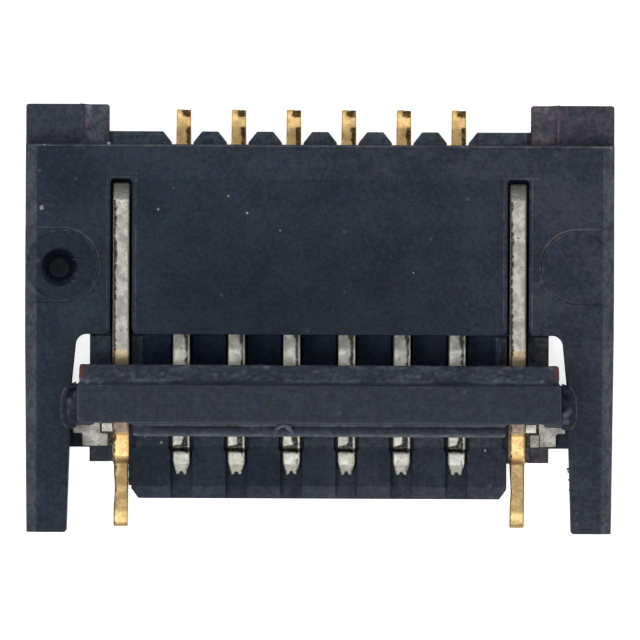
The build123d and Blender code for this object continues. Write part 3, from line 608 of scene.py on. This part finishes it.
def moulded_plastic(name, light_and_shade_patches=(), shade_discs=()):
    """Matte moulded plastic: cloudy colour, fine mottling, pale specks and painted light and shade in
    places.
    """
    dark, light = COLOURS[name]
    shader = Shader(name)
    clouds, mottle, grain = (shader.noise(*kind) for kind in (CLOUDS, MOTTLE, GRAIN))
    tone = shader.remap(shader.weighted((clouds, mottle, grain), TONE_SHARES), *TONE_RANGE)
    colour = shader.tinted(shader.mix(tone, dark, light), *TINT)
    # Painted light that grows from the left side to the right
    painted_light_to_right = shader.remap(shader.along(0), -RIGHT_PAINTED_LIGHT_REACH, RIGHT_PAINTED_LIGHT_REACH)
    colour = shader.shaded(colour, painted_light_to_right, RIGHT_PAINTED_LIGHT)
    # Painted light and shade over the patches and discs
    for x_range, y_range, soft, painted_shading in light_and_shade_patches:
        colour = shader.shaded(colour, shader.patch(x_range, y_range, soft), painted_shading)
    for x, y, radius, soft, painted_shading in shade_discs:
        colour = shader.shaded(colour, shader.disc(x, y, radius, soft), painted_shading)
    dots = shader.math("MULTIPLY", shader.specks(*DOTS), DOT_STRENGTH)
    colour = shader.mix(dots, colour, PALE_DOT)
    shader.set(
        Base_Color=colour,
        Roughness=shader.remap(mottle, *PLASTIC_ROUGHNESS),
        Normal=shader.bump(shader.weighted((mottle, grain), PLASTIC_SHARES), PLASTIC_RELIEF),
        Specular_IOR_Level=SHINE,
    )
    return shader.material


def worn_plastic(name):
    """Same plastic, with wear and painted highlights, stains and painted shading carried by the mesh."""
    dark, light, worn_and_lit = COLOURS[name]
    shader = Shader(name)
    mottle, grain = (shader.noise(*kind) for kind in (WORN_MOTTLE, WORN_GRAIN))
    relief = shader.weighted((mottle, grain), PLASTIC_SHARES)
    colour = shader.mix(shader.remap(relief, *WORN_TONE_RANGE), dark, light)
    colour = shader.tinted(colour, *WORN_TINT)
    colour = shader.mix(shader.attribute("wear_and_highlight"), colour, worn_and_lit)
    colour = shader.mix(shader.attribute("rust_tint"), colour, RUST)
    # Painted light and shade that the mesh carries
    colour = shader.scaled(colour, shader.attribute("painted_shading"))
    shader.set(
        Base_Color=colour,
        Roughness=shader.remap(mottle, *WORN_ROUGHNESS),
        Normal=shader.bump(relief, WORN_RELIEF),
        Specular_IOR_Level=SHINE,
    )
    return shader.material


def sheared_metal(name):
    """Strip metal with plated ends, rough torn bands on its blanked edges, fine speckle and painted
    shading.
    """
    plain, plated = COLOURS[name]
    shader = Shader(name)
    blotch, speckle = (shader.noise(*kind) for kind in (BLOTCHES, SPECKLE))
    colour = shader.mix(shader.attribute("gold"), plain, plated)
    colour = shader.mix(shader.attribute("copper"), colour, COPPER)
    dull = shader.remap(shader.weighted((blotch, speckle), DULL_SHARES), *DULL_RANGE)
    dull = shader.math("MULTIPLY", dull, DULL_STRENGTH)
    colour = shader.mix(dull, colour, shader.scaled(colour, DULL_SHADE))
    pits = shader.math("MULTIPLY", shader.remap(speckle, *PIT_RANGE), PIT_STRENGTH)
    colour = shader.mix(pits, colour, shader.scaled(colour, PIT_SHADE))
    # Painted light and shade that the mesh carries
    colour = shader.scaled(colour, shader.attribute("painted_shading"))
    # Dirt on the torn bands, and painted shadow where the mesh marks it
    dirt_and_shadow_colour = shader.mix(shader.attribute("gold"), DIRT_AND_SHADOW_ON_PLAIN, DIRT_AND_SHADOW_ON_GOLD)
    dirt_and_shadow = shader.math("MULTIPLY", shader.attribute("torn_dirt_and_shadow"), shader.remap(speckle, *DIRT_RANGE))
    colour = shader.mix(dirt_and_shadow, colour, dirt_and_shadow_colour)
    shader.set(
        Base_Color=colour,
        Metallic=1.0,
        Roughness=shader.remap(blotch, *METAL_ROUGHNESS),
        Normal=shader.bump(shader.weighted((blotch, speckle), METAL_SHARES), METAL_RELIEF),
    )
    return shader.material


def millimetre_copy(node):
    """A copy of a CAD node's mesh in millimetres, sewn together and with its flat faces joined."""
    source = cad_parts[node].data
    work = bmesh.new()
    work.from_mesh(source)
    bmesh.ops.scale(work, vec=(1 / MM,) * 3, verts=work.verts)
    bmesh.ops.remove_doubles(work, verts=work.verts, dist=SEW_DISTANCE)
    bmesh.ops.dissolve_limit(
        work, angle_limit=math.radians(FLAT_ANGLE), verts=work.verts, edges=work.edges
    )
    work.verts.index_update()
    points = [tuple(vertex.co) for vertex in work.verts]
    faces = [[vertex.index for vertex in face.verts] for face in work.faces]
    work.free()
    mesh = bpy.data.meshes.new(f"{node}_work")
    mesh.from_pydata(points, [], faces)
    return mesh


def with_modifiers(mesh, *modifiers):
    """The mesh after modifiers, each given as (kind, {setting: value})."""
    holder = bpy.data.objects.new("work", mesh)
    SCENE.collection.objects.link(holder)
    for kind, settings in modifiers:
        modifier = holder.modifiers.new(kind, kind)
        for name, value in settings.items():
            setattr(modifier, name, value)
    depsgraph = bpy.context.evaluated_depsgraph_get()
    result = bpy.data.meshes.new_from_object(holder.evaluated_get(depsgraph), depsgraph=depsgraph)
    bpy.data.objects.remove(holder)
    return result


def piece(name, mesh, body, materials, replaced=()):
    """Puts a mesh made in millimetres into the frame, riding on a body."""
    mesh.transform(Matrix.Scale(MM, 4))
    made = bpy.data.objects.new(name, mesh)
    SCENE.collection.objects.link(made)
    mesh.materials.clear()
    for material in materials:
        mesh.materials.append(material)
    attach(made, body)
    if replaced:
        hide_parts(*replaced)
    return made


def points_of(mesh):
    flat = np.empty(len(mesh.vertices) * 3)
    mesh.vertices.foreach_get("co", flat)
    return flat.reshape(-1, 3)


def normals_of(mesh):
    flat = np.empty(len(mesh.vertices) * 3, np.float32)
    mesh.vertex_normals.foreach_get("vector", flat)
    return flat.reshape(-1, 3).astype(float)


def ripple(points, per_mm, seed):
    """Smooth noise between about -1 and 1 at each point."""
    return np.array([noise.noise(Vector(point * per_mm + seed)) for point in points])


def smoothstep(low, high, values):
    share = np.clip((values - low) / (high - low), 0, 1)
    return share * share * (3 - 2 * share)


def at_least(least, share):
    """A share from 0 to 1 squeezed into the range from the least one to 1."""
    return least + (1 - least) * share


def bell(values, centre, width):
    """1 at the centre, falling to about a third one width away."""
    return np.exp(-((values - centre) / width) ** 2)


def set_attribute(mesh, name, values):
    attribute = mesh.attributes.new(name, "FLOAT", "POINT")
    attribute.data.foreach_set("value", values.astype(np.float32))


def remeshed(node, voxel):
    """A CAD node's mesh made anew from small even faces, which can be shaped and coloured by point."""
    return with_modifiers(
        millimetre_copy(node),
        ("REMESH", {"mode": "VOXEL", "voxel_size": voxel, "use_smooth_shade": True}),
        ("SMOOTH", SMOOTHING),
    )


def shade_along(points, shades):
    """The painted light and shade at each point, from brightness by place along Y with ragged borders."""
    places, values = zip(*shades)
    wander = sum(strength * ripple(points, *waves) for strength, *waves in SHADE_WANDER)
    return np.interp(points[:, 1] + wander, places, values)


def torn_band(mesh, across, start, end, seed):
    """Presses in and roughens the torn band of a sheared edge, and says how torn each point is."""
    points, normals = points_of(mesh), normals_of(mesh)
    edge_on = 1 - normals[:, 0] ** 2
    waviness = sum(strength * ripple(points, per_mm, seed) for strength, per_mm in TORN_WANDER)
    inside = smoothstep(-TORN_BORDER, TORN_BORDER, across - start - waviness)
    inside *= 1 - smoothstep(-TORN_BORDER, TORN_BORDER, across - end - waviness / 2)
    rough = ripple(points, ROUGH_WAVES, seed + ROUGH_SEED)
    depth = edge_on * (inside * (TORN_DEPTH + TORN_ROUGHNESS * rough) + SHEARED_ROUGHNESS * rough)
    depth += edge_on * ROLLOVER_DEPTH * np.clip(1 - across / ROLLOVER_SHARE, 0, 1) ** 2
    points -= normals * depth[:, None]
    mesh.vertices.foreach_set("co", points.ravel())
    mesh.update()
    return points, inside * edge_on


def contact_skin(number, material):
    """A contact with its torn band, painted shadow on its heel's step, painted shading and plated tail."""
    node = f"contact_{number}"
    mesh = remeshed(node, METAL_VOXEL)
    low, high = box_in_mm(node)
    points = points_of(mesh)
    across = (points[:, 0] - low.x) / (high.x - low.x)
    places, starts = zip(*CONTACT_TORN_START)
    start = np.interp(points[:, 1], places, starts)
    end = np.where(points[:, 1] > MOUTH_Y, PAST_EDGE, CONTACT_TORN_END)
    seed = CONTACT_SEED_STEP * number
    points, torn_dirt_and_shadow = torn_band(mesh, across, start, end, seed)
    y = points[:, 1] + HEEL_WANDER * ripple(points, HEEL_WAVES, seed)
    # Painted shadow on the heel's step, which goes in with the torn band's dirt
    low_end, low_start, high_start, high_end = HEEL_STEP_SHADOW
    step = smoothstep(low_end, low_start, y)
    step *= smoothstep(high_end, high_start, y - HEEL_STEP_SLOPE * across)
    rim = smoothstep(*HEEL_RIM, across) * (y < HEEL_START_Y)
    set_attribute(mesh, "torn_dirt_and_shadow", np.maximum(torn_dirt_and_shadow, step) * (1 - RIM_SHINE * rim))
    set_attribute(mesh, "gold", smoothstep(*PLATING_START, y))
    set_attribute(mesh, "copper", np.zeros(len(y)))
    set_attribute(mesh, "painted_shading", shade_along(points, CONTACT_PAINTED_SHADING))
    piece(f"{node}_skin", mesh, "base", [material], (node,))


def hold_down_skin(side, material):
    """A hold down with its torn band, its gilding, its stained wing and its long thinned tail."""
    node = f"hold_down_{side}"
    mesh = remeshed(node, METAL_VOXEL)
    low, high = box_in_mm(node)
    sheet_low = low.x if side == "right" else high.x - SHEET_STOCK
    points = points_of(mesh)
    points[:, 1] -= BREAK_OFF * smoothstep(*TAIL_END, points[:, 1])
    waist = bell(points[:, 1], WAIST_Y, WAIST_LENGTH)
    left_part = np.clip(1 - (points[:, 0] - sheet_low) / SHEET_STOCK, 0, 1)
    points[:, 0] += WAIST * waist * left_part * (points[:, 1] < TAIL_START_Y)
    mesh.vertices.foreach_set("co", points.ravel())
    mesh.update()
    across = 1 - (points[:, 0] - sheet_low) / SHEET_STOCK
    y = points[:, 1]
    start = np.select([y > BEND_Y, y < SADDLE_Y], [PAST_EDGE, TAIL_TORN_START], TORN_START)
    on_sheet = np.abs(across - 0.5) < SHEET_REACH
    start = np.where(on_sheet, start, OFF_SHEET)
    end = np.full(len(y), PAST_EDGE)
    points, torn_dirt_and_shadow = torn_band(mesh, np.clip(across, 0, OFF_SHEET), start, end, HOLD_DOWN_SEED)
    set_attribute(mesh, "torn_dirt_and_shadow", torn_dirt_and_shadow)
    band_y = y + BAND_WANDER * ripple(points, *BAND_WAVES)
    band = smoothstep(*GOLD_BAND[:2], band_y) * smoothstep(*GOLD_BAND[2:], y)
    gold = np.maximum(1 - smoothstep(*GOLD_END, y), BAND_GILT * band)
    set_attribute(mesh, "gold", gold * on_sheet)
    hook = (1 - smoothstep(*HOOK_END, y)) * smoothstep(*GOLD_END, y) * (points[:, 2] > HOOK_HEIGHT)
    set_attribute(mesh, "copper", hook * on_sheet)
    wing_shade = np.where(y < WING_EDGE_Y, *WING_SHADES)
    wing_shade -= WING_STAIN * smoothstep(*WING_STAIN_RANGE, ripple(points, *WING_WAVES))
    set_attribute(mesh, "painted_shading", np.where(on_sheet, shade_along(points, HOLD_DOWN_PAINTED_SHADING), wing_shade))
    piece(f"{node}_skin", mesh, "base", [material], (node,))


def housing_skin(plastic, edge_highlight_plastic):
    """The housing with rounded edges of a paler plastic, a painted highlight with some wear."""
    mesh = with_modifiers(
        millimetre_copy("housing"),
        ("BEVEL", {
            "width": HOUSING_BEVEL, "segments": 2, "limit_method": "ANGLE",
            "angle_limit": math.radians(BEVEL_ANGLE), "use_clamp_overlap": False,
            "harden_normals": False, "material": 1,
        }),
    )
    piece("housing_skin", mesh, "base", [plastic, edge_highlight_plastic], ("housing",))


def convexity(mesh):
    """How far each vertex stands out from its neighbours, with flat as 0."""
    points, normals = points_of(mesh), normals_of(mesh)
    ends = np.empty(len(mesh.edges) * 2, np.int32)
    mesh.edges.foreach_get("vertices", ends)
    first, second = ends.reshape(-1, 2).T
    offset = points[second] - points[first]
    length = np.linalg.norm(offset, axis=1) + 1e-9
    rise = np.zeros(len(points))
    count = np.zeros(len(points))
    np.add.at(rise, first, -(offset * normals[first]).sum(1) / length)
    np.add.at(rise, second, (offset * normals[second]).sum(1) / length)
    np.add.at(count, first, 1)
    np.add.at(count, second, 1)
    return rise / np.maximum(count, 1)


def lever_skin(plastic):
    """The lever with worn edges, streaked faces, lumpy bosses, grooves, bruises and painted light and
    shade.
    """
    mesh = remeshed("lever", LEVER_VOXEL)
    points, normals = points_of(mesh), normals_of(mesh)
    x, y, z = points.T
    worn_edges = smoothstep(*EDGE_WEAR, convexity(mesh))
    worn_edges *= at_least(EDGE_LEAST, smoothstep(*EDGE_PATCHES, ripple(points, *EDGE_WAVES)))
    boss = smoothstep(*BOSS_START, np.abs(x))
    front = smoothstep(*FRONT_START, y) * (1 - boss)
    rear = (1 - smoothstep(*REAR_START, y)) * (1 - boss)
    lumps = ripple(points, *LUMP_WAVES)
    streaks = SHORT_STREAKS * ripple(points, *SHORT_STREAK_WAVES)
    streaks += LONG_STREAKS * ripple(points * STREAK_STRETCH, *LONG_STREAK_WAVES)
    dashes = smoothstep(*DASHES, ripple(points * DASH_STRETCH, *DASH_WAVES))
    rib_groove = bell(y, *RIB_GROOVE) * dashes * (1 - boss)
    swell = boss * BOSS_LUMPS * lumps + (1 - boss) * FACE_SWELL * ripple(points, *SWELL_WAVES)
    swell += front * FRONT_STREAKS * streaks + rear * REAR_STREAKS * streaks - rib_groove * GROOVE_DEPTH
    mesh.vertices.foreach_set("co", (points + normals * swell[:, None]).ravel())
    mesh.update()
    # Painted highlight along the rib's crests
    crests = bell(y, *RIB_CRESTS[0]) + bell(y, *RIB_CRESTS[1])
    scuffs_and_highlights = boss * smoothstep(*BOSS_SCUFFS, lumps)
    scuffs_and_highlights += FRONT_WEAR * front * smoothstep(*FRONT_SCUFFS, streaks)
    crest_parts = at_least(CREST_LEAST, smoothstep(*CREST_SCUFFS, streaks))
    scuffs_and_highlights += CREST_HIGHLIGHT * crests * (1 - boss) * crest_parts
    faces_up = normals[:, 2] > FACES_UP
    for spot_x, spot_y, radius in LEVER_SPOTS:
        scuffs_and_highlights += SPOT_WEAR * bell(np.hypot(x - spot_x, y - spot_y), 0, radius) * faces_up
    set_attribute(mesh, "wear_and_highlight", np.clip(worn_edges + scuffs_and_highlights, 0, 1))
    set_attribute(mesh, "rust_tint", smoothstep(*STAIN_X, np.abs(x)) * smoothstep(*STAIN_Y, y))
    # Painted light on the shadowed bosses, chamfers and faces, and painted shade in the grooves
    chamfered = smoothstep(*BOSS_CHAMFER, np.abs(x))
    painted_shading = 1 + boss * (BOSS_SHADE[0] + BOSS_SHADE[1] * lumps + BOSS_SHADE[2] * chamfered)
    painted_shading += front * (FRONT_SHADE[0] + FRONT_SHADE[1] * streaks)
    painted_shading += rear * (REAR_SHADE[0] + REAR_SHADE[1] * streaks)
    lift_parts = smoothstep(*FOOT_LIFT_PARTS, ripple(points, *FOOT_LIFT_WAVES))
    painted_shading += FOOT_LIFT_SHADE * bell(y, *FOOT_LIFT) * lift_parts * (1 - boss)
    groove_parts = smoothstep(*FOOT_GROOVE_PARTS, ripple(points, *FOOT_GROOVE_WAVES))
    painted_shading -= FOOT_GROOVE_SHADE * bell(y, *FOOT_GROOVE) * groove_parts * (z > GROOVE_LOWEST)
    set_attribute(mesh, "painted_shading", painted_shading - RIB_GROOVE_SHADE * rib_groove)
    piece("lever_skin", mesh, "flip_lever", [plastic], ("lever",))


def straight(start, end, height):
    """Points along a straight line at one height, evenly spaced."""
    count = max(2, int(math.dist(start, end) / LINE_STEP))
    return [Vector((*start, height)).lerp(Vector((*end, height)), i / count) for i in range(count + 1)]


def arc(centre, radius, start, end, height, step=ARC_STEP):
    """Points along an arc between two angles in degrees, at one height."""
    count = max(2, int(abs(end - start) / step))
    angles = [math.radians(start + (end - start) * i / count) for i in range(count + 1)]
    centre = Vector((*centre, height))
    return [centre + Vector((radius * math.cos(a), radius * math.sin(a), 0)) for a in angles]


def raised_line(shape, path, width, seed):
    """A thin ragged rib of plastic along a path, which breaks off here and there."""
    rows = []
    for index, point in enumerate(path):
        before, after = path[max(index - 1, 0)], path[min(index + 1, len(path) - 1)]
        along = (after - before).normalized()
        across = Vector((-along.y, along.x, 0))
        shift = Vector((seed, 0, 0))
        drifts = (share * noise.noise(point * per_mm + shift) for share, per_mm in LINE_DRIFTS)
        strength = min(max(sum(drifts, LINE_STRENGTH), LINE_LEAST), 1)
        side = across * width * strength / 2
        rise = Vector((0, 0, width * LINE_RISE * strength))
        sunk = Vector((0, 0, -LINE_DEPTH))
        row = (point - side + sunk, point + rise, point + side + sunk)
        rows.append([shape.verts.new(place) for place in row])
    for first, second in zip(rows, rows[1:]):
        for index in range(2):
            shape.faces.new((first[index], first[index + 1], second[index + 1], second[index]))


def mesh_of(shape, name):
    """The mesh of a finished shape, which is freed."""
    mesh = bpy.data.meshes.new(name)
    shape.to_mesh(mesh)
    shape.free()
    return mesh


def lines_piece(name, lines, body, material):
    """One piece from raised lines, each given as (path, width)."""
    shape = bmesh.new()
    for index, (path, width) in enumerate(lines):
        raised_line(shape, path, width, LINE_SEED_STEP * index)
    bmesh.ops.recalc_face_normals(shape, faces=shape.faces)
    piece(name, mesh_of(shape, name), body, [material])


def parting_lines(material):
    """Witness lines of the mould's inserts, pins and slides on the housing, painted pale as highlights."""
    half = box_in_mm("housing")[1].x
    ends = [(side * (half - EDGE_LINE_SETBACK), EDGE_LINE_Y) for side in (-1, 1)]
    lines = [(straight(*ends, COVER_TOP), EDGE_LINE_WIDTH)]
    for side in (-1, 1):
        centre = (side * PAD_CENTRE[0], PAD_CENTRE[1])
        pad_top = centre[1] + PAD_RADIUS
        border = (side * (half - PAD_SETBACK), pad_top)
        ring = arc(centre, PIN_RING_RADIUS, *PIN_RING_ANGLES[side], COVER_TOP - PAD_DEPTH)
        lines += [
            (straight(border, (centre[0], pad_top), COVER_TOP), PAD_LINE_WIDTH),
            (arc(centre, PAD_RADIUS, *PAD_CORNER_ANGLES[side], COVER_TOP), PAD_CORNER_WIDTH),
            (arc(centre, PAD_RADIUS, *PAD_BACK_ANGLES[side], COVER_TOP), PAD_LINE_WIDTH),
            (ring, PIN_RING_WIDTH),
        ]
        for place in SLOT_LINES_X:
            ends = [(side * place, y) for y in SLOT_LINES_Y]
            lines.append((straight(*ends, COVER_TOP), SLOT_LINE_WIDTH))
        ends = [(side * place, SLOT_LINES_Y[0]) for place in SLOT_CROSS_X]
        lines.append((straight(*ends, COVER_TOP), SLOT_CROSS_WIDTH))
        ends = [(side * BLOCK_STEP_X, y) for y in (COVER_FRONT_Y, BLOCK_FRONT_Y)]
        lines.append((straight(*ends, BLOCK_TOP), BLOCK_LINE_WIDTH))
        rim = [(side * x, y) for x, y in POCKET_RIM_HIGHLIGHT]
        for ends in zip(rim, rim[1:]):
            lines.append((straight(*ends, COVER_TOP + FILM_LIFT), POCKET_RIM_WIDTH))
    for ends in SCRATCHES:
        lines.append((straight(*ends, COVER_TOP), SCRATCH_WIDTH))
    lines_piece("mould_witness_line_highlights", lines, "base", material)


def film(shape, outline, hole, height, thickness):
    """A thin film of plastic between an outline and a hole with as many corners, or a plain strip."""
    top = [shape.verts.new((x, y, height)) for x, y in outline]
    base = [shape.verts.new((x, y, height - thickness)) for x, y in outline]
    rings = [(top, base)]
    if hole:
        rings.append((
            [shape.verts.new((x, y, height)) for x, y in hole],
            [shape.verts.new((x, y, height - thickness)) for x, y in hole],
        ))
        for level in range(2):
            outer, inner = rings[0][level], rings[1][level]
            for index in range(len(outer) - 1):
                shape.faces.new((outer[index], outer[index + 1], inner[index + 1], inner[index]))
    else:
        shape.faces.new(top)
        shape.faces.new(base[::-1])
    for upper, lower in rings:
        for index in range(-1 if not hole else 0, len(upper) - 1):
            shape.faces.new((upper[index], upper[index + 1], lower[index + 1], lower[index]))


def ragged(corners, amount, seed):
    """A line of corners cut into short steps that wander a little."""
    path = []
    for first, second in zip(corners, corners[1:]):
        path += straight(first, second, 0)[:-1]
    path.append(Vector((*corners[-1], 0)))
    moved = []
    for point in path:
        drift = noise.noise_vector(point * RAGGED_WAVES + Vector((seed, 0, 0))) * amount
        moved.append((point.x + drift.x, point.y + drift.y))
    return moved


def flash_films(plastic):
    """Thin flash round the boss pockets, and dark strips beside the hold downs as painted shadow in the
    gaps.
    """
    shape = bmesh.new()
    for side in (-1, 1):
        hole = ragged([(side * x, y) for x, y in POCKET_HOLE], FILM_RAGGED, FILM_SEED + side)
        outline = ragged([(side * x, y) for x, y in POCKET_OUTLINE], 0.0, 0.0)
        count = min(len(hole), len(outline))
        hole = [hole[round(i * (len(hole) - 1) / (count - 1))] for i in range(count)]
        outline = [outline[round(i * (len(outline) - 1) / (count - 1))] for i in range(count)]
        film(shape, outline, hole, COVER_TOP + FILM_LIFT, FILM_THICKNESS)
    for x_range, y_range, height in SHADOW_SLIVERS:
        corners = [(x_range[0], y_range[0]), (x_range[0], y_range[1])]
        back = [(x_range[1], y_range[1]), (x_range[1], y_range[0])]
        corners += ragged(back, SLIVER_RAGGED, x_range[0])
        film(shape, corners, None, height, SLIVER_THICKNESS)
    bmesh.ops.recalc_face_normals(shape, faces=shape.faces)
    piece("mould_flash_and_shadow_strips", mesh_of(shape, "flash"), "base", [plastic])


def curl(material):
    """A loose curl of flash that hangs on the lever's rear rib."""
    shape = bmesh.new()
    rings = []
    flat = Vector((0, 0, CURL_FLATNESS))
    least, more = CURL_GIRTH_SHARES
    for point in arc((CURL_CENTRE[0], 0), CURL_RADIUS, *CURL_ANGLES, 0, CURL_STEP):
        sway = CURL_SWAY * noise.noise(point * CURL_SWAY_WAVES)
        centre = Vector((point.x, CURL_CENTRE[1] + point.y, CURL_HEIGHT + sway))
        outward = (centre - Vector((*CURL_CENTRE, CURL_HEIGHT))).normalized()
        girth = CURL_GIRTH * (least + more * noise.noise(point * CURL_GIRTH_WAVES))
        rings.append([
            shape.verts.new(centre + girth * (outward * math.cos(a) + flat * math.sin(a)))
            for a in [math.tau * step / CURL_SIDES for step in range(CURL_SIDES)]
        ])
    for first, second in zip(rings, rings[1:]):
        for index in range(CURL_SIDES):
            after = (index + 1) % CURL_SIDES
            shape.faces.new((first[index], first[after], second[after], second[index])).smooth = True
    for ring in (rings[0], rings[-1]):
        shape.faces.new(ring)
    bmesh.ops.recalc_face_normals(shape, faces=shape.faces)
    piece("flash_curl", mesh_of(shape, "curl"), "flip_lever", [material])


def wing_tabs(material):
    """The small tab between each hold down's sheet and its folded wing, with painted highlight and shadow.
    """
    shape = bmesh.new()
    for side, (centre, size) in itertools.product((-1, 1), TABS):
        made = bmesh.ops.create_cube(shape, size=1.0)
        for vertex in made["verts"]:
            vertex.co = Vector(centre) + Vector(size) * vertex.co
            vertex.co.x *= side
    bmesh.ops.recalc_face_normals(shape, faces=shape.faces)
    bmesh.ops.bevel(shape, geom=shape.edges, offset=TAB_BEVEL, segments=2, affect="EDGES")
    mesh = mesh_of(shape, "wing_tabs")
    points = points_of(mesh)
    for name in ("gold", "copper"):
        set_attribute(mesh, name, np.zeros(len(points)))
    set_attribute(mesh, "torn_dirt_and_shadow", points[:, 2] < TAB_SHADOW_TOP)
    set_attribute(mesh, "painted_shading", np.where(points[:, 1] > TAB_SPLIT_Y, *TAB_SHADES))
    piece("wing_tabs", mesh, "base", [material])


def specks_piece(name, places, body, material):
    """Small flat crumbs lying on the part, each given as (x, y, z, radius)."""
    shape = bmesh.new()
    for index, (x, y, z, radius) in enumerate(places):
        made = bmesh.ops.create_icosphere(shape, subdivisions=2, radius=radius)
        for vertex in made["verts"]:
            lump = noise.noise(vertex.co * (CRUMB_WAVES / radius) + Vector((index, 0, 0)))
            vertex.co *= 1 + CRUMB_LUMPS * lump
            vertex.co = Vector((vertex.co.x + x, vertex.co.y + y, vertex.co.z * CRUMB_FLATNESS + z))
    for face in shape.faces:
        face.smooth = True
    piece(name, mesh_of(shape, name), body, [material])


def make_camera():
    """A camera with a very long lens, so that it sees the part as from far away."""
    data = bpy.data.cameras.new("camera")
    data.lens = CAMERA_LENS
    data.sensor_width = CAMERA_SENSOR
    camera = bpy.data.objects.new("camera", data)
    SCENE.collection.objects.link(camera)
    distance = IMAGE_SIDE / PIXELS_PER_MM * CAMERA_LENS / CAMERA_SENSOR
    camera.location = Vector((*CAMERA_CENTRE, COVER_TOP + distance)) * MM
    camera.rotation_euler = (0, 0, -math.radians(CAMERA_ROLL))
    data.clip_start = 1 * MM
    data.clip_end = 2 * distance * MM
    SCENE.camera = camera


def area_light(name, azimuth, elevation, distance, side, radiance):
    """A square light that faces the object, with its radiance in the camera's units."""
    data = bpy.data.lights.new(name, "AREA")
    data.size = side
    data.energy = radiance * math.pi * side ** 2
    light = bpy.data.objects.new(name, data)
    SCENE.collection.objects.link(light)
    turn, rise = math.radians(azimuth), math.radians(elevation)
    direction = Vector((math.sin(turn) * math.cos(rise), math.cos(turn) * math.cos(rise), math.sin(rise)))
    light.location = direction * distance
    light.rotation_mode = "QUATERNION"
    light.rotation_quaternion = direction.to_track_quat("Z", "Y")


def make_floor():
    """A round pale floor just below the part, which glows so that it shows white."""
    shader = Shader("pale_floor")
    shader.set(Base_Color=FLOOR_COLOUR, Roughness=FLOOR_ROUGHNESS)
    shader.set(Emission_Color=WHITE, Emission_Strength=FLOOR_GLOW)
    shape = bmesh.new()
    bmesh.ops.create_circle(shape, cap_ends=True, segments=FLOOR_CORNERS, radius=FLOOR_RADIUS_M)
    mesh = mesh_of(shape, "floor")
    mesh.materials.append(shader.material)
    floor = bpy.data.objects.new("floor", mesh)
    floor.location.z = -FLOOR_DROP * MM
    SCENE.collection.objects.link(floor)


def make_world():
    world = bpy.data.worlds.new("studio")
    world.use_nodes = True
    background = world.node_tree.nodes["Background"]
    background.inputs["Color"].default_value = (*WHITE, 1.0)
    background.inputs["Strength"].default_value = SKY_STRENGTH
    SCENE.world = world


SCENE.view_settings.view_transform = "Standard"
make_camera()
make_world()
make_floor()
for light in LIGHTS:
    area_light(*light)

housing_plastic = moulded_plastic("housing_plastic", HOUSING_LIGHT_AND_SHADE, HOUSING_SHADE_DISCS)
edge_highlight_plastic = moulded_plastic("housing_edge_highlight")
line_highlight_plastic = moulded_plastic("witness_line_highlight")
crumb_plastic = moulded_plastic("crumb")
contact_metal = sheared_metal("contact_metal")
hold_down_metal = sheared_metal("hold_down_metal")

housing_skin(housing_plastic, edge_highlight_plastic)
parting_lines(line_highlight_plastic)
flash_films(housing_plastic)
specks_piece("moulding_crumbs", CRUMBS, "base", crumb_plastic)
specks_piece("arm_burrs", BURRS, "base", edge_highlight_plastic)
curl(moulded_plastic("curl"))
wing_tabs(hold_down_metal)
lever_skin(worn_plastic("lever_plastic"))
contact_count = sum(node.startswith("contact_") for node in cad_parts)
for number in range(1, contact_count + 1):
    contact_skin(number, contact_metal)
for side in ("left", "right"):
    hold_down_skin(side, hold_down_metal)
